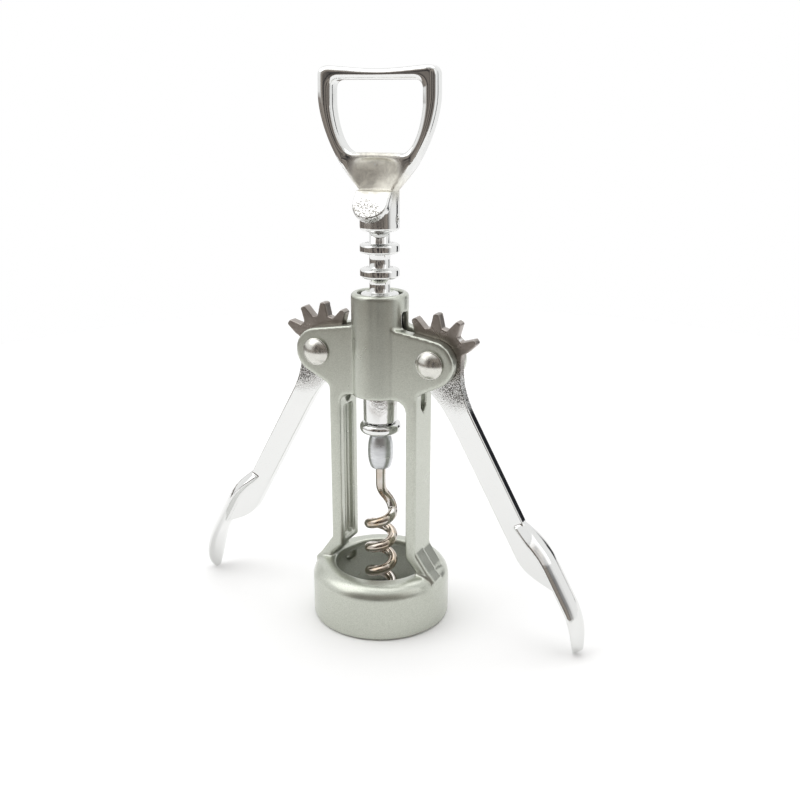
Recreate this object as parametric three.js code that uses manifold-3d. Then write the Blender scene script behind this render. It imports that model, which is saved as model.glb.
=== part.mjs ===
// Lever corkscrew: a guide frame that stands on the bottle, a ringed rack spindle that carries the
// worm and a bottle-opener handle, and two geared levers that lift the spindle out of the frame.
// Millimetres, +Z up. The origin is the middle of the bell ring's rest face; the levers swing in X-Z.
import * as THREE from 'three';
import { mergeVertices } from 'three/addons/utils/BufferGeometryUtils.js';
import Module from 'manifold-3d';

const wasm = await Module();
wasm.setup();

// ---- driving dimensions -------------------------------------------------------------------------

const CLEARANCE = 0.3;          // gap between two pieces that touch or run on each other
const PAST = 2;                 // how far a cutter runs past what it cuts, or a root into its body

// bell ring that stands on the bottle
const RING_RADIUS = 21;
const RING_HEIGHT = 16.6;
const RING_SHOULDER = 4.5;      // radius of the rounded shoulder
const RING_WALL = 4.6;          // wall round the bottle neck
const LIP_THICKNESS = 2.6;      // lip that rests on the bottle rim
const LIP_WIDTH = 2.5;

// legs, U sections open towards the spindle
const WINDOW_HEIGHT = 53.9;     // from the ring's top to the barrel's lower end
const LEG_INSET = 2.33;         // from the ring's bore inwards to the leg's outer face
const LEG_WIDTH = 3.3;          // along X
const LEG_WEB = 1.2;            // outer wall
const LEG_FLANGE = 2.8;         // front and rear walls
const FRAME_DEPTH = 11.26;      // along Y, legs and ears alike
const FOOT_HEIGHT = 6.3;        // height over which the foot flares outwards, above the lip
const FOOT_FLARE = 3.6;         // how far it flares
const FOOT_INNER_DROP = 1.8;    // the flare starts this much lower on the leg's inner side
const FOOT_LAND = 1.0;          // upright stretch of the foot above the ring's top
const FOOT_SINK = 2.2;          // how deep the foot runs into the ring, below its top
const FOOT_REACH = 0.78;        // share of the ring's shoulder that the foot runs out over
const WINDOW_FILLET = 3.3;

// guide barrel
const BARREL_LENGTH = 30.3;
const BARREL_WALL = 1.85;
const BARREL_RIM = 1.0;         // rounding of the barrel's top edge
const BARREL_RIM_STEPS = 4;
const BORE_GAP = 0.87;          // loose fit round the widest piece that runs in the barrel

// ears and pivots
const PIVOT_OVERHANG = 4.13;    // from the leg's outer face outwards to the pivot
const PIVOT_RISE = 12;          // from the barrel's lower end up to the pivot
const EAR_RADIUS = 6.9;
const EAR_SLOPE = 9.2;          // degrees, top edge, falling outwards
const EAR_FILLET = 2.5;
const EAR_UNDERCUT = 66;        // degrees below the horizontal at which the ear's round end begins

// lever pivot rivets
const RIVET_RADIUS = 2.3;
const RIVET_HEAD_RADIUS = 4.1;
const RIVET_HEAD_HEIGHT = 1.9;

// levers
const LEVER_THICKNESS = 3.2;
const LEVER_GAP = 0.15;         // running gap on each side of the lever between the ears
const SLOT_POINT = 1.7;         // depth of the pointed lower end of the lever's slot
const SLOT_CREST = 13.3;        // from the pivot up to the slot's upper end
const LEVER_REST_ANGLE = 29;    // degrees from hanging straight down
const LEVER_INNER_EDGE = 4.1;   // bar edges, measured from the line from pivot to tip
const LEVER_OUTER_EDGE = 2.7;
const TIP_HEIGHT = 0.9;         // middle of the pad's tip above the rest face
const PAD_LENGTH = 41;
const WEB_LENGTH = 32.5;        // from the corner where the bar narrows to the tip
const PAD_WIDTH = 10;
const PAD_THICKNESS = 3.4;
const PAD_CROWN = 2.4;
const PAD_SIDE = 0.6;           // height of the pad's upright edges
const PAD_ROOT = 1.4;           // from the line of pivot and tip out to the pad's middle at its start
const PAD_SWELL = 3.5;          // how far the pad rises from there
const PAD_SWELL_LENGTH = 13;
const PAD_HOOK = 4.6;           // how far its tip bends back in
const PAD_HOOK_LENGTH = 15;
const PAD_HOOK_POWER = 2.2;
const PAD_BLUNT = 0.55;         // width of the pad's start and of its inner face, as a share
const PAD_TIP_ROUND = 6;        // radius of the tip in plan
const WEB_FALL = 6.8;           // how far the web's inner edge runs outwards towards the pad
const WEB_RUN = 14;             // length over which it does

const NECK_LENGTH = 20;         // from the pivot to where the neck has run out into the bar
const NECK_POWER = 2.7;         // how late the neck widens towards the sector
const NECK_STEPS = 7;

// gear sector and rack
const TOOTH_SPACING = 6.95;     // wanted along the rack; a whole number of teeth makes it exact
const TOOTH_SPAN = 180;         // degrees from the first tooth to the last
const ENGAGED_SPAN = 150;       // degrees from the first tooth to the one that points at the spindle
const TOOTH_ENGAGEMENT = 1.2;   // how deep the teeth reach between the rack's rings
const TOOTH_ADDENDUM = 0.53;    // from the rolling circle to the tip
const TOOTH_HEIGHT = 3.9;
const TOOTH_TIP_WIDTH = 1.8;
const TOOTH_ROOT_WIDTH = 3.4;
const RING_SEAT = 0.52;         // the ring above the engaged tooth lies this much nearer than the lower
const RACK_RING_RADIUS = 5.6;
const RACK_RING_THICKNESS = 2.6;
const RACK_CORE_RADIUS = 2.93;

// plain lower part of the spindle, stop ring, ferrule
const GUIDE_RADIUS = 5.05;
const GUIDE_REACH = 1.8;        // how far the plain part reaches up into the barrel at rest
const GUIDE_LENGTH = 10.2;      // from its top down to the stop ring
const STOP_RADIUS = 6.13;
const STOP_HEIGHT = 3.2;
const STUB_RADIUS = 3.2;        // neck of the spindle inside the stop ring
const FERRULE_RADIUS = 3.82;
const FERRULE_END_RADIUS = 2.9;
const FERRULE_LENGTH = 10.4;
const FERRULE_SWELL = 2.6;      // power of the swell: higher is squarer
const FERRULE_GAP = 0.8;        // from the stop ring to the ferrule

// worm
const WIRE_RADIUS = 1.5;
const HELIX_RADIUS = 3.65;      // centre line
const HELIX_PITCH = 8.1;
const HELIX_START = 30;         // degrees round the axis at which the helix begins
const SHANK_FREE = 4.4;         // straight wire below the ferrule
const BEND_HEIGHT = 10.1;       // height over which the wire bends out of the axis
const BEND_TURN = 80;           // degrees that it winds meanwhile
const WORM_TIP = 4.6;           // height of the wire's end over the rest face
const SHANK_GRIP = 6;           // length of wire inside the spindle
const POINT_LENGTH = 7;         // length over which the wire thins to its point
const POINT_END = 0.12;         // share of the wire's radius that is left at the very end
const POINT_POWER = 0.6;        // how blunt the taper is

// handle
const HANDLE_LIFT = 17.3;       // from the barrel's top to the collar at rest
const COLLAR_RADIUS = 5.57;
const COLLAR_LENGTH = 11.3;
const COLLAR_CHAMFER = 0.8;
const HEAD_HEIGHT = 32.6;
const HEAD_HALF_WIDTH = 17.2;
const HEAD_DEPTH = 6.4;
const HEAD_BAR = 3.7;           // thickness of the top bar
const HEAD_ARM = 4.2;           // width of the side arms
const HEAD_SADDLE = 0.9;        // dip of the top edge
const HEAD_ROUND = 1.1;         // rounding of the head's edges
const HEAD_SHOULDER = 7;        // from the top down to the widest place
const HEAD_CORNER = 3;          // rounding of the outer top corners
const OPENING_CORNER = 2.5;     // rounding of the opening's top corners
const OPENING_BASE = 0.55;      // flat width at the opening's lower side, as a share
const OPENING_LEAVE = [0.8, 0.02];   // how its side curves out of the lower edge, as shares
const OPENING_JOIN = [0.97, 0.55];   // how its side straightens higher up, as shares
const NECK_SINK = 6;            // how far the head's neck runs down into the collar
const NECK_INSET = 0.3;         // how much narrower the neck is than the collar
const WEB_HEIGHT = 9.9;         // from the collar to the opening
const WEB_DISH = 1.6;           // depth of the dished recess on each face of the web
const WEB_LIP = 1.6;            // left between the recess and the opening
const DISH_INSET = 1.0;         // from the neck's side to the recess at its narrow lower end
const DISH_FLARE = 4.6;         // how much wider each side of the recess is at its top
const DISH_BELLY = 2.2;         // how far its sides swell on the way
const DISH_CROWN = 1.1;         // rise of its upper edge
const TONGUE_RADIUS = 5.2;      // of the opener tongue's round lower end
const TONGUE_LENGTH = 8.8;      // along its slope
const TONGUE_THICKNESS = 2.8;
const TONGUE_ROOT = 4.9;        // from the axis to the tongue's outer face at its upper edge
const TONGUE_TILT = 40;         // degrees, lower edge outwards
const LIFT = 22.5;              // how far the handle sinks when the levers go up
const SOCKET_DEPTH = 8;         // depth of the spindle's seat in the collar
const PIN_RADIUS = 0.75;
const PIN_HEIGHT = 3.4;         // above the collar's lower face
const PIN_INSET = 0.6;          // how far the pin's ends lie below the collar's surface
const HANDLE_TURN = 6;          // degrees; the handle and spindle turn freely, and rest like this

// facets
const ROUND = 48;               // large round pieces
const MEDIUM = 32;
const SMALL = 20;
const WIRE_SIDES = 8;
const WIRE_STEPS = 1.5;         // sections for each point of the worm's line

// ---- values that follow from them ----------------------------------------------------------------

const RAD = Math.PI / 180;

const RING_BORE = RING_RADIUS - RING_WALL;
const LIP_TOP_RADIUS = RING_RADIUS - RING_SHOULDER;
const MOUTH_RADIUS = RING_BORE - LIP_WIDTH;
const HALF_DEPTH = FRAME_DEPTH / 2;
const LEG_OUTER_X = RING_BORE - LEG_INSET;
const LEG_INNER_X = LEG_OUTER_X - LEG_WIDTH;
const FOOT_TOP = RING_HEIGHT + FOOT_HEIGHT;

const BARREL_BOTTOM = RING_HEIGHT + WINDOW_HEIGHT;
const BARREL_TOP = BARREL_BOTTOM + BARREL_LENGTH;
const BORE_RADIUS = Math.max(RACK_RING_RADIUS, COLLAR_RADIUS, GUIDE_RADIUS) + BORE_GAP;
const BARREL_RADIUS = BORE_RADIUS + BARREL_WALL;
const PIVOT_X = LEG_OUTER_X + PIVOT_OVERHANG;
const PIVOT_Z = BARREL_BOTTOM + PIVOT_RISE;
const RIVET_HOLE = RIVET_RADIUS + CLEARANCE;
const SLOT_HALF = LEVER_THICKNESS / 2 + LEVER_GAP;

const PAD_TIP = (PIVOT_Z - TIP_HEIGHT) / Math.cos(LEVER_REST_ANGLE * RAD);
const PAD_START = PAD_TIP - PAD_LENGTH;
const BAR_LENGTH = PAD_TIP - WEB_LENGTH;
const TOOTH_TIP_RADIUS = PIVOT_X - RACK_RING_RADIUS + TOOTH_ENGAGEMENT;
const TOOTH_ROOT_RADIUS = TOOTH_TIP_RADIUS - TOOTH_HEIGHT;
const PITCH_RADIUS = TOOTH_TIP_RADIUS - TOOTH_ADDENDUM;
const TEETH_PER_TURN = Math.round(2 * Math.PI * PITCH_RADIUS / TOOTH_SPACING);
const TOOTH_PITCH_ANGLE = 360 / TEETH_PER_TURN;
const TOOTH_COUNT = 1 + Math.round(TOOTH_SPAN / TOOTH_PITCH_ANGLE);
const ENGAGED_TOOTH = Math.round(ENGAGED_SPAN / TOOTH_PITCH_ANGLE);

const COLLAR_BOTTOM = BARREL_TOP + HANDLE_LIFT;
const HEAD_BOTTOM = COLLAR_BOTTOM + COLLAR_LENGTH;
const HEAD_TOP = HEAD_BOTTOM + HEAD_HEIGHT;
const WEB_TOP = HEAD_BOTTOM + WEB_HEIGHT;
const SPINDLE_TOP = COLLAR_BOTTOM + SOCKET_DEPTH;

const RACK_PITCH = 2 * Math.PI * PITCH_RADIUS / TEETH_PER_TURN;
const FIRST_RING = PIVOT_Z - RACK_PITCH / 2 - RING_SEAT;
const RACK_ROOM = COLLAR_BOTTOM - RACK_RING_THICKNESS / 2 - CLEARANCE - FIRST_RING;
const RACK_RINGS = 1 + Math.floor(RACK_ROOM / RACK_PITCH);

const GUIDE_TOP = BARREL_BOTTOM + GUIDE_REACH;
const STOP_BOTTOM = GUIDE_TOP - GUIDE_LENGTH - CLEARANCE - STOP_HEIGHT;
const FERRULE_TOP = STOP_BOTTOM - FERRULE_GAP;
const FERRULE_BOTTOM = FERRULE_TOP - FERRULE_LENGTH;
const SPINDLE_BOTTOM = FERRULE_TOP + CLEARANCE;
const SHANK_BOTTOM = FERRULE_BOTTOM - SHANK_FREE;
const HELIX_TOP = SHANK_BOTTOM - BEND_HEIGHT;

// ---- tools for shaping ---------------------------------------------------------------------------

/** Closed geometry to a manifold solid, its faces turned outwards. */
function solid(geometry) {
  const bare = geometry.clone();
  bare.deleteAttribute('normal');
  bare.deleteAttribute('uv');
  const merged = mergeVertices(bare, 1e-4);
  const corners = Array.from(merged.index.array);
  const points = merged.attributes.position.array;
  const triangles = [];
  for (let i = 0; i < corners.length; i += 3) {
    const [a, b, c] = corners.slice(i, i + 3);
    if (a !== b && b !== c && c !== a) triangles.push(a, b, c);
  }
  if (signedVolume(points, triangles) < 0) triangles.reverse();
  const mesh = new wasm.Mesh({
    numProp: 3,
    vertProperties: new Float32Array(points),
    triVerts: new Uint32Array(triangles),
  });
  mesh.merge();
  return new wasm.Manifold(mesh);
}

function signedVolume(points, triangles) {
  const [a, b, c] = [new THREE.Vector3(), new THREE.Vector3(), new THREE.Vector3()];
  let volume = 0;
  for (let i = 0; i < triangles.length; i += 3) {
    a.fromArray(points, 3 * triangles[i]);
    b.fromArray(points, 3 * triangles[i + 1]);
    c.fromArray(points, 3 * triangles[i + 2]);
    volume += a.dot(b.cross(c)) / 6;
  }
  return volume;
}

/** Manifold solid back to a geometry. */
function geometryOf(manifold) {
  const mesh = manifold.getMesh();
  const geometry = new THREE.BufferGeometry();
  geometry.setAttribute('position', new THREE.BufferAttribute(new Float32Array(mesh.vertProperties), 3));
  geometry.setIndex(Array.from(mesh.triVerts));
  return geometry;
}

/** A closed profile of [radius, height] points turned round the Z axis. */
function lathe(profile, facets) {
  const points = profile.map(([r, z]) => new THREE.Vector2(r, z));
  if (profile[0][0] > 0) points.push(points[0].clone());
  return solid(new THREE.LatheGeometry(points, facets).rotateX(Math.PI / 2));
}

/** A cylinder about Z between two heights. */
function rod(radius, bottom, top, facets = MEDIUM) {
  return lathe([[0, bottom], [radius, bottom], [radius, top], [0, top]], facets);
}

/** A cylinder along Y, centred on the X-Z plane. */
function rodAcross(radius, length, x, z, facets = MEDIUM) {
  return solid(new THREE.CylinderGeometry(radius, radius, length, facets).translate(x, 0, z));
}

/** A box between two corners. */
function block([x0, y0, z0], [x1, y1, z1]) {
  const box = new THREE.BoxGeometry(x1 - x0, y1 - y0, z1 - z0);
  return solid(box.translate((x0 + x1) / 2, (y0 + y1) / 2, (z0 + z1) / 2));
}

/** An X-Z outline made a plate that is centred on y = 0. */
function plate(shape, depth, curveSegments = 12) {
  const flat = new THREE.ExtrudeGeometry(shape, { depth, bevelEnabled: false, curveSegments });
  return solid(flat.translate(0, 0, -depth / 2).rotateX(Math.PI / 2));
}

/** Points on a quarter or other arc, from one angle to another in degrees. */
function arc(cx, cy, radius, from, to, steps) {
  const points = [];
  for (let i = 0; i <= steps; i += 1) {
    const t = (from + (to - from) * i / steps) * RAD;
    points.push([cx + radius * Math.cos(t), cy + radius * Math.sin(t)]);
  }
  return points;
}

function shapeOf(points) {
  return new THREE.Shape(points.map(([x, y]) => new THREE.Vector2(x, y)));
}

/** The same points on the other side of x = 0, in the order that carries an outline on. */
function mirrored(points) {
  return points.map(([x, y]) => [-x, y]).reverse();
}

const finish = {
  paint: { color: 0xb2b7aa, roughness: 0.42, metalness: 0.55 },
  chrome: { color: 0xdfe1df, roughness: 0.12, metalness: 1.0 },
  nickel: { color: 0xd2d3cb, roughness: 0.22, metalness: 1.0 },
  satin: { color: 0xb9bec3, roughness: 0.38, metalness: 1.0 },
  steel: { color: 0xa9a49c, roughness: 0.18, metalness: 1.0 },
};

function piece(name, manifold, look) {
  const mesh = new THREE.Mesh(geometryOf(manifold), new THREE.MeshStandardMaterial(finish[look]));
  mesh.name = name;
  return mesh;
}

// ---- frame ---------------------------------------------------------------------------------------

function bellRing() {
  const edge = 0.6;
  const shoulderSteps = 8;
  const shoulder = arc(LIP_TOP_RADIUS, RING_HEIGHT - RING_SHOULDER, RING_SHOULDER, 0, 90, shoulderSteps);
  return lathe([
    [RING_BORE, 0],
    [RING_RADIUS - edge, 0],
    [RING_RADIUS, edge],
    ...shoulder,
    [MOUTH_RADIUS, RING_HEIGHT],
    [MOUTH_RADIUS, RING_HEIGHT - LIP_THICKNESS],
    [RING_BORE, RING_HEIGHT - LIP_THICKNESS],
  ], ROUND);
}

/** Half outline of ears, legs and feet in X-Z, from the window's top round the outside to the top. */
function yokeHalfOutline() {
  const footBottom = RING_HEIGHT - FOOT_SINK;
  const landTop = RING_HEIGHT + FOOT_LAND;
  const flareOuter = LEG_OUTER_X + FOOT_FLARE;
  const flareInner = LEG_INNER_X + FOOT_FLARE;
  const under = EAR_UNDERCUT * RAD;
  const slope = EAR_SLOPE * RAD;
  const tangent = [PIVOT_X + EAR_RADIUS * Math.cos(under), PIVOT_Z - EAR_RADIUS * Math.sin(under)];
  const corner = tangent[1] - (tangent[0] - LEG_OUTER_X) / Math.tan(under);
  const topTangent = [PIVOT_X + EAR_RADIUS * Math.sin(slope), PIVOT_Z + EAR_RADIUS * Math.cos(slope)];
  const windowSteps = 6;
  const earSteps = 14;
  const windowX = LEG_INNER_X - WINDOW_FILLET;
  return [
    ...arc(windowX, BARREL_BOTTOM - WINDOW_FILLET, WINDOW_FILLET, 90, 0, windowSteps),
    [LEG_INNER_X, FOOT_TOP - FOOT_INNER_DROP],
    [flareInner, landTop],
    [flareInner, footBottom],
    [LIP_TOP_RADIUS + FOOT_REACH * RING_SHOULDER, footBottom],
    [flareOuter, landTop],
    [LEG_OUTER_X, FOOT_TOP],
    ...earFillet(corner, under),
    ...arc(PIVOT_X, PIVOT_Z, EAR_RADIUS, -EAR_UNDERCUT, 90 - EAR_SLOPE, earSteps),
    [0, topTangent[1] + topTangent[0] * Math.tan(slope)],
  ];
}

/** The fillet between a leg and the ear's straight lower side, which leans out by an angle. */
function earFillet(corner, lean) {
  const start = new THREE.Vector2(LEG_OUTER_X, corner - EAR_FILLET);
  const end = new THREE.Vector2(LEG_OUTER_X + EAR_FILLET * Math.sin(lean) / 2,
    corner + EAR_FILLET * Math.cos(lean) / 2);
  const bend = new THREE.QuadraticBezierCurve(start, new THREE.Vector2(LEG_OUTER_X, corner), end);
  return bend.getPoints(3).map((p) => [p.x, p.y]);
}

function yoke() {
  const half = yokeHalfOutline();
  return plate(shapeOf([...half, ...mirrored(half).slice(1)]), FRAME_DEPTH);
}

function barrel() {
  return lathe([
    [0, BARREL_BOTTOM],
    [BARREL_RADIUS, BARREL_BOTTOM],
    ...arc(BARREL_RADIUS - BARREL_RIM, BARREL_TOP - BARREL_RIM, BARREL_RIM, 0, 90, BARREL_RIM_STEPS),
    [0, BARREL_TOP],
  ], ROUND);
}

/** Room for one lever: between the ears, through the barrel's side and down into the leg's web. */
function leverSlot(side) {
  const toothRoom = TOOTH_TIP_RADIUS + 3 * CLEARANCE;
  const top = PIVOT_Z + SLOT_CREST;
  const legReach = Math.sqrt(toothRoom ** 2 - (PIVOT_X - LEG_OUTER_X) ** 2);
  const bottom = PIVOT_Z - legReach - CLEARANCE;
  const outer = PIVOT_X + EAR_RADIUS + PAST;
  const outline = shapeOf([
    [-SLOT_HALF, top],
    [-SLOT_HALF, bottom],
    [0, bottom - SLOT_POINT],
    [SLOT_HALF, bottom],
    [SLOT_HALF, top],
  ]);
  const flat = new THREE.ExtrudeGeometry(outline, { depth: outer, bevelEnabled: false });
  // the outline's X runs along Y here, and the extrusion along X
  flat.applyMatrix4(new THREE.Matrix4().makeBasis(
    new THREE.Vector3(0, 1, 0),
    new THREE.Vector3(0, 0, 1),
    new THREE.Vector3(1, 0, 0),
  ));
  return side > 0 ? solid(flat) : solid(flat.rotateZ(Math.PI));
}

/** The hollow of one U-section leg. */
function legChannel(side) {
  const inner = LEG_INNER_X - PAST;
  const outer = LEG_OUTER_X - LEG_WEB;
  const half = HALF_DEPTH - LEG_FLANGE;
  const bottom = FOOT_TOP - CLEARANCE;
  const top = BARREL_BOTTOM - WINDOW_FILLET - 1;
  return side > 0
    ? block([inner, -half, bottom], [outer, half, top])
    : block([-outer, -half, bottom], [-inner, half, top]);
}

function frame() {
  let body = bellRing().add(yoke()).add(barrel());
  body = body.subtract(rod(BORE_RADIUS, BARREL_BOTTOM - PAST, BARREL_TOP + PAST, ROUND));
  for (const side of [1, -1]) {
    body = body.subtract(leverSlot(side));
    body = body.subtract(legChannel(side));
    body = body.subtract(rodAcross(RIVET_HOLE, FRAME_DEPTH + PAST, side * PIVOT_X, PIVOT_Z, SMALL));
  }
  return piece('frame', body, 'paint');
}

// ---- levers --------------------------------------------------------------------------------------

// A lever's outline lies in its own plane: the first coordinate runs from the pivot to the tip, the
// second outwards, away from the spindle. Angles are measured from the first towards the second.

/** One tooth of the sector, at an angle in degrees. */
function tooth(angle) {
  const tip = TOOTH_TIP_WIDTH / 2;
  const root = TOOTH_ROOT_WIDTH / 2;
  const edge = 0.45;
  const outline = shapeOf([
    [TOOTH_ROOT_RADIUS - PAST, -root],
    [TOOTH_ROOT_RADIUS, -root],
    [TOOTH_TIP_RADIUS - edge, -tip],
    [TOOTH_TIP_RADIUS, -tip + edge],
    [TOOTH_TIP_RADIUS, tip - edge],
    [TOOTH_TIP_RADIUS - edge, tip],
    [TOOTH_ROOT_RADIUS, root],
    [TOOTH_ROOT_RADIUS - PAST, root],
  ]);
  const flat = new THREE.ExtrudeGeometry(outline, { depth: LEVER_THICKNESS, bevelEnabled: false });
  return solid(flat.translate(0, 0, -LEVER_THICKNESS / 2).rotateZ(angle * RAD));
}

/** Plate of a lever in its own plane. */
function leverPlate(points, thickness = LEVER_THICKNESS) {
  const flat = new THREE.ExtrudeGeometry(shapeOf(points), { depth: thickness, bevelEnabled: false });
  return solid(flat.translate(0, 0, -thickness / 2));
}

function toothAngle(index) {
  return 270 - LEVER_REST_ANGLE + (index - ENGAGED_TOOTH) * TOOTH_PITCH_ANGLE;
}

/** Round hub with the sector's root circle behind the teeth, drawn into the bar on both sides. */
function sectorPlate() {
  const steps = 30;
  const root = arc(0, 0, TOOTH_ROOT_RADIUS, toothAngle(0), toothAngle(TOOTH_COUNT - 1), steps);
  return leverPlate([
    ...neckLine(LEVER_OUTER_EDGE, root[0], 1),
    ...root,
    ...neckLine(LEVER_INNER_EDGE, root[steps], -1).reverse(),
  ]);
}

/** Points from a bar edge up to the hub: they start on the edge and end near a tooth's root. */
function neckLine(edge, [rootX, rootY], side) {
  const swell = Math.abs(rootY) - edge;
  const points = [];
  for (let i = 0; i < NECK_STEPS; i += 1) {
    const t = i / NECK_STEPS;
    const along = NECK_LENGTH + (rootX - NECK_LENGTH) * t;
    points.push([along, side * (edge + swell * t ** NECK_POWER)]);
  }
  return points;
}

/** Flat bar and the web that carries the thumb pad. */
function barPlate() {
  const start = NECK_LENGTH / 3;
  const end = BAR_LENGTH + WEB_RUN;
  const inner = new THREE.CubicBezierCurve(
    new THREE.Vector2(BAR_LENGTH, -LEVER_INNER_EDGE),
    new THREE.Vector2(BAR_LENGTH + 0.4 * WEB_RUN, -LEVER_INNER_EDGE),
    new THREE.Vector2(BAR_LENGTH + 0.6 * WEB_RUN, -LEVER_INNER_EDGE + 0.4 * WEB_FALL),
    new THREE.Vector2(end, -LEVER_INNER_EDGE + WEB_FALL),
  ).getPoints(10).map((p) => [p.x, p.y]);
  return leverPlate([
    [start, -LEVER_INNER_EDGE],
    ...inner,
    [end, padLine(end) + CLEARANCE],
    [BAR_LENGTH, padLine(BAR_LENGTH) + CLEARANCE],
    [PAD_START + PAST, LEVER_OUTER_EDGE],
    [start, LEVER_OUTER_EDGE],
  ]);
}

/** How far outwards the pad's middle line lies, at a distance from the pivot. */
function padLine(along) {
  const risen = THREE.MathUtils.clamp((along - PAD_START) / PAD_SWELL_LENGTH, -1, 1);
  const bent = Math.max(0, along - PAD_TIP + PAD_HOOK_LENGTH) / PAD_HOOK_LENGTH;
  return PAD_ROOT + PAD_SWELL * Math.sin(risen * Math.PI / 2) - PAD_HOOK * bent ** PAD_HOOK_POWER;
}

/** Thumb pad: a crowned section led along the pad's line, cut to a plan with a round tip. */
function thumbPad() {
  const half = PAD_WIDTH / 2;
  const inner = -PAD_THICKNESS / 2;
  const edge = PAD_THICKNESS / 2 - PAD_CROWN;
  const crownAt = (y) => PAD_THICKNESS / 2 - PAD_CROWN * (y / half) ** 2;
  const facets = 8;
  const crown = [];
  for (let i = 0; i <= facets; i += 1) {
    const across = half - PAD_WIDTH * i / facets;
    crown.push([across, crownAt(across)]);
  }
  const section = shapeOf([
    [-PAD_BLUNT * half, inner],
    [PAD_BLUNT * half, inner],
    [half, edge - PAD_SIDE],
    ...crown,
    [-half, edge - PAD_SIDE],
  ]);
  const stations = 16;
  const points = [];
  for (let i = 0; i <= stations; i += 1) {
    const along = PAD_START - PAST + (PAD_LENGTH + 2 * PAST) * i / stations;
    points.push(new THREE.Vector3(along, padLine(along), 0));
  }
  const path = new THREE.CatmullRomCurve3(points);
  const sweep = new THREE.ExtrudeGeometry(section, { steps: 2 * stations, extrudePath: path });
  return solid(sweep).intersect(padPlan());
}

/** Plan of the pad seen from outside: a blunt start and a round tip. */
function padPlan() {
  const half = PAD_WIDTH / 2;
  const full = PAD_TIP - 1.5 * PAD_TIP_ROUND;
  const tip = arc(PAD_TIP - PAD_TIP_ROUND, 0, PAD_TIP_ROUND, -52, 52, 8);
  const widest = Math.max(...tip.map(([, y]) => y));
  const start = [
    [PAD_START, PAD_BLUNT * half],
    [PAD_START + 0.4 * PAD_TIP_ROUND, 0.88 * half],
    [PAD_START + PAD_TIP_ROUND, half],
    [full, half],
  ];
  const outline = shapeOf([
    ...start.map(([x, y]) => [x, -y]),
    ...tip.map(([x, y]) => [x, y * 0.96 * half / widest]),
    ...start.reverse(),
  ]);
  const tall = 4 * PAD_WIDTH;
  const flat = new THREE.ExtrudeGeometry(outline, { depth: tall, bevelEnabled: false });
  return solid(flat.translate(0, 0, -tall / 2).rotateX(Math.PI / 2));
}

function leverSolid() {
  let body = sectorPlate().add(barPlate()).add(thumbPad());
  for (let i = 0; i < TOOTH_COUNT; i += 1) body = body.add(tooth(toothAngle(i)));
  const hole = new THREE.CylinderGeometry(RIVET_HOLE, RIVET_HOLE, LEVER_THICKNESS + PAST, SMALL);
  return body.subtract(solid(hole.rotateX(Math.PI / 2)));
}

/** A lever hangs from its pivot at the rest angle; the left one is the right one turned round Z. */
function lever(name, side, manifold) {
  const mesh = piece(name, manifold, 'chrome');
  mesh.geometry.applyMatrix4(new THREE.Matrix4().makeBasis(
    new THREE.Vector3(0, 0, -1),
    new THREE.Vector3(1, 0, 0),
    new THREE.Vector3(0, -1, 0),
  ));
  mesh.position.set(PIVOT_X, 0, PIVOT_Z);
  mesh.rotation.y = -LEVER_REST_ANGLE * RAD;
  const turned = new THREE.Group();
  turned.rotation.z = side > 0 ? 0 : Math.PI;
  turned.add(mesh);
  return turned;
}

// ---- rivets --------------------------------------------------------------------------------------

function rivet(name, side) {
  const seat = HALF_DEPTH + CLEARANCE;
  const bulge = (RIVET_HEAD_RADIUS ** 2 + RIVET_HEAD_HEIGHT ** 2) / (2 * RIVET_HEAD_HEIGHT);
  const opening = Math.asin(RIVET_HEAD_RADIUS / bulge) / RAD;
  const domeSteps = 6;
  const dome = (end) => arc(0, end * (seat + RIVET_HEAD_HEIGHT - bulge), bulge,
    end * (90 - opening), end * 90, domeSteps);
  const profile = [
    ...dome(-1).reverse().map(([x, y]) => [Math.max(0, x), y]),
    [RIVET_RADIUS, -seat],
    [RIVET_RADIUS, seat],
    ...dome(1).map(([x, y]) => [Math.max(0, x), y]),
  ];
  profile[0][0] = 0;
  profile[profile.length - 1][0] = 0;
  const mesh = piece(name, lathe(profile, SMALL), 'nickel');
  mesh.rotation.x = Math.PI / 2;
  mesh.position.set(side * PIVOT_X, 0, PIVOT_Z);
  return mesh;
}

// ---- spindle and what is fixed to it -------------------------------------------------------------

function rackSpindle() {
  const half = RACK_RING_THICKNESS / 2;
  const edge = 0.45;
  const profile = [
    [0, SPINDLE_BOTTOM],
    [STUB_RADIUS, SPINDLE_BOTTOM],
    [STUB_RADIUS, STOP_BOTTOM + STOP_HEIGHT + CLEARANCE],
    [GUIDE_RADIUS - edge, STOP_BOTTOM + STOP_HEIGHT + CLEARANCE],
    [GUIDE_RADIUS, STOP_BOTTOM + STOP_HEIGHT + CLEARANCE + edge],
    [GUIDE_RADIUS, GUIDE_TOP - edge],
    [GUIDE_RADIUS - edge, GUIDE_TOP],
    [RACK_CORE_RADIUS, GUIDE_TOP],
  ];
  for (let i = 0; i < RACK_RINGS; i += 1) {
    const z = FIRST_RING + i * RACK_PITCH;
    profile.push(
      [RACK_CORE_RADIUS, z - half],
      [RACK_RING_RADIUS - edge, z - half],
      [RACK_RING_RADIUS, z - half + edge],
      [RACK_RING_RADIUS, z + half - edge],
      [RACK_RING_RADIUS - edge, z + half],
      [RACK_CORE_RADIUS, z + half],
    );
  }
  profile.push([RACK_CORE_RADIUS, SPINDLE_TOP - CLEARANCE], [0, SPINDLE_TOP - CLEARANCE]);
  const socket = rod(WIRE_RADIUS + CLEARANCE, SPINDLE_BOTTOM - PAST, SPINDLE_BOTTOM + SHANK_GRIP, SMALL);
  const body = lathe(profile, MEDIUM).subtract(socket).subtract(pinRod(PIN_RADIUS + CLEARANCE, PAST));
  return piece('rack_spindle', body, 'chrome');
}

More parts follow.
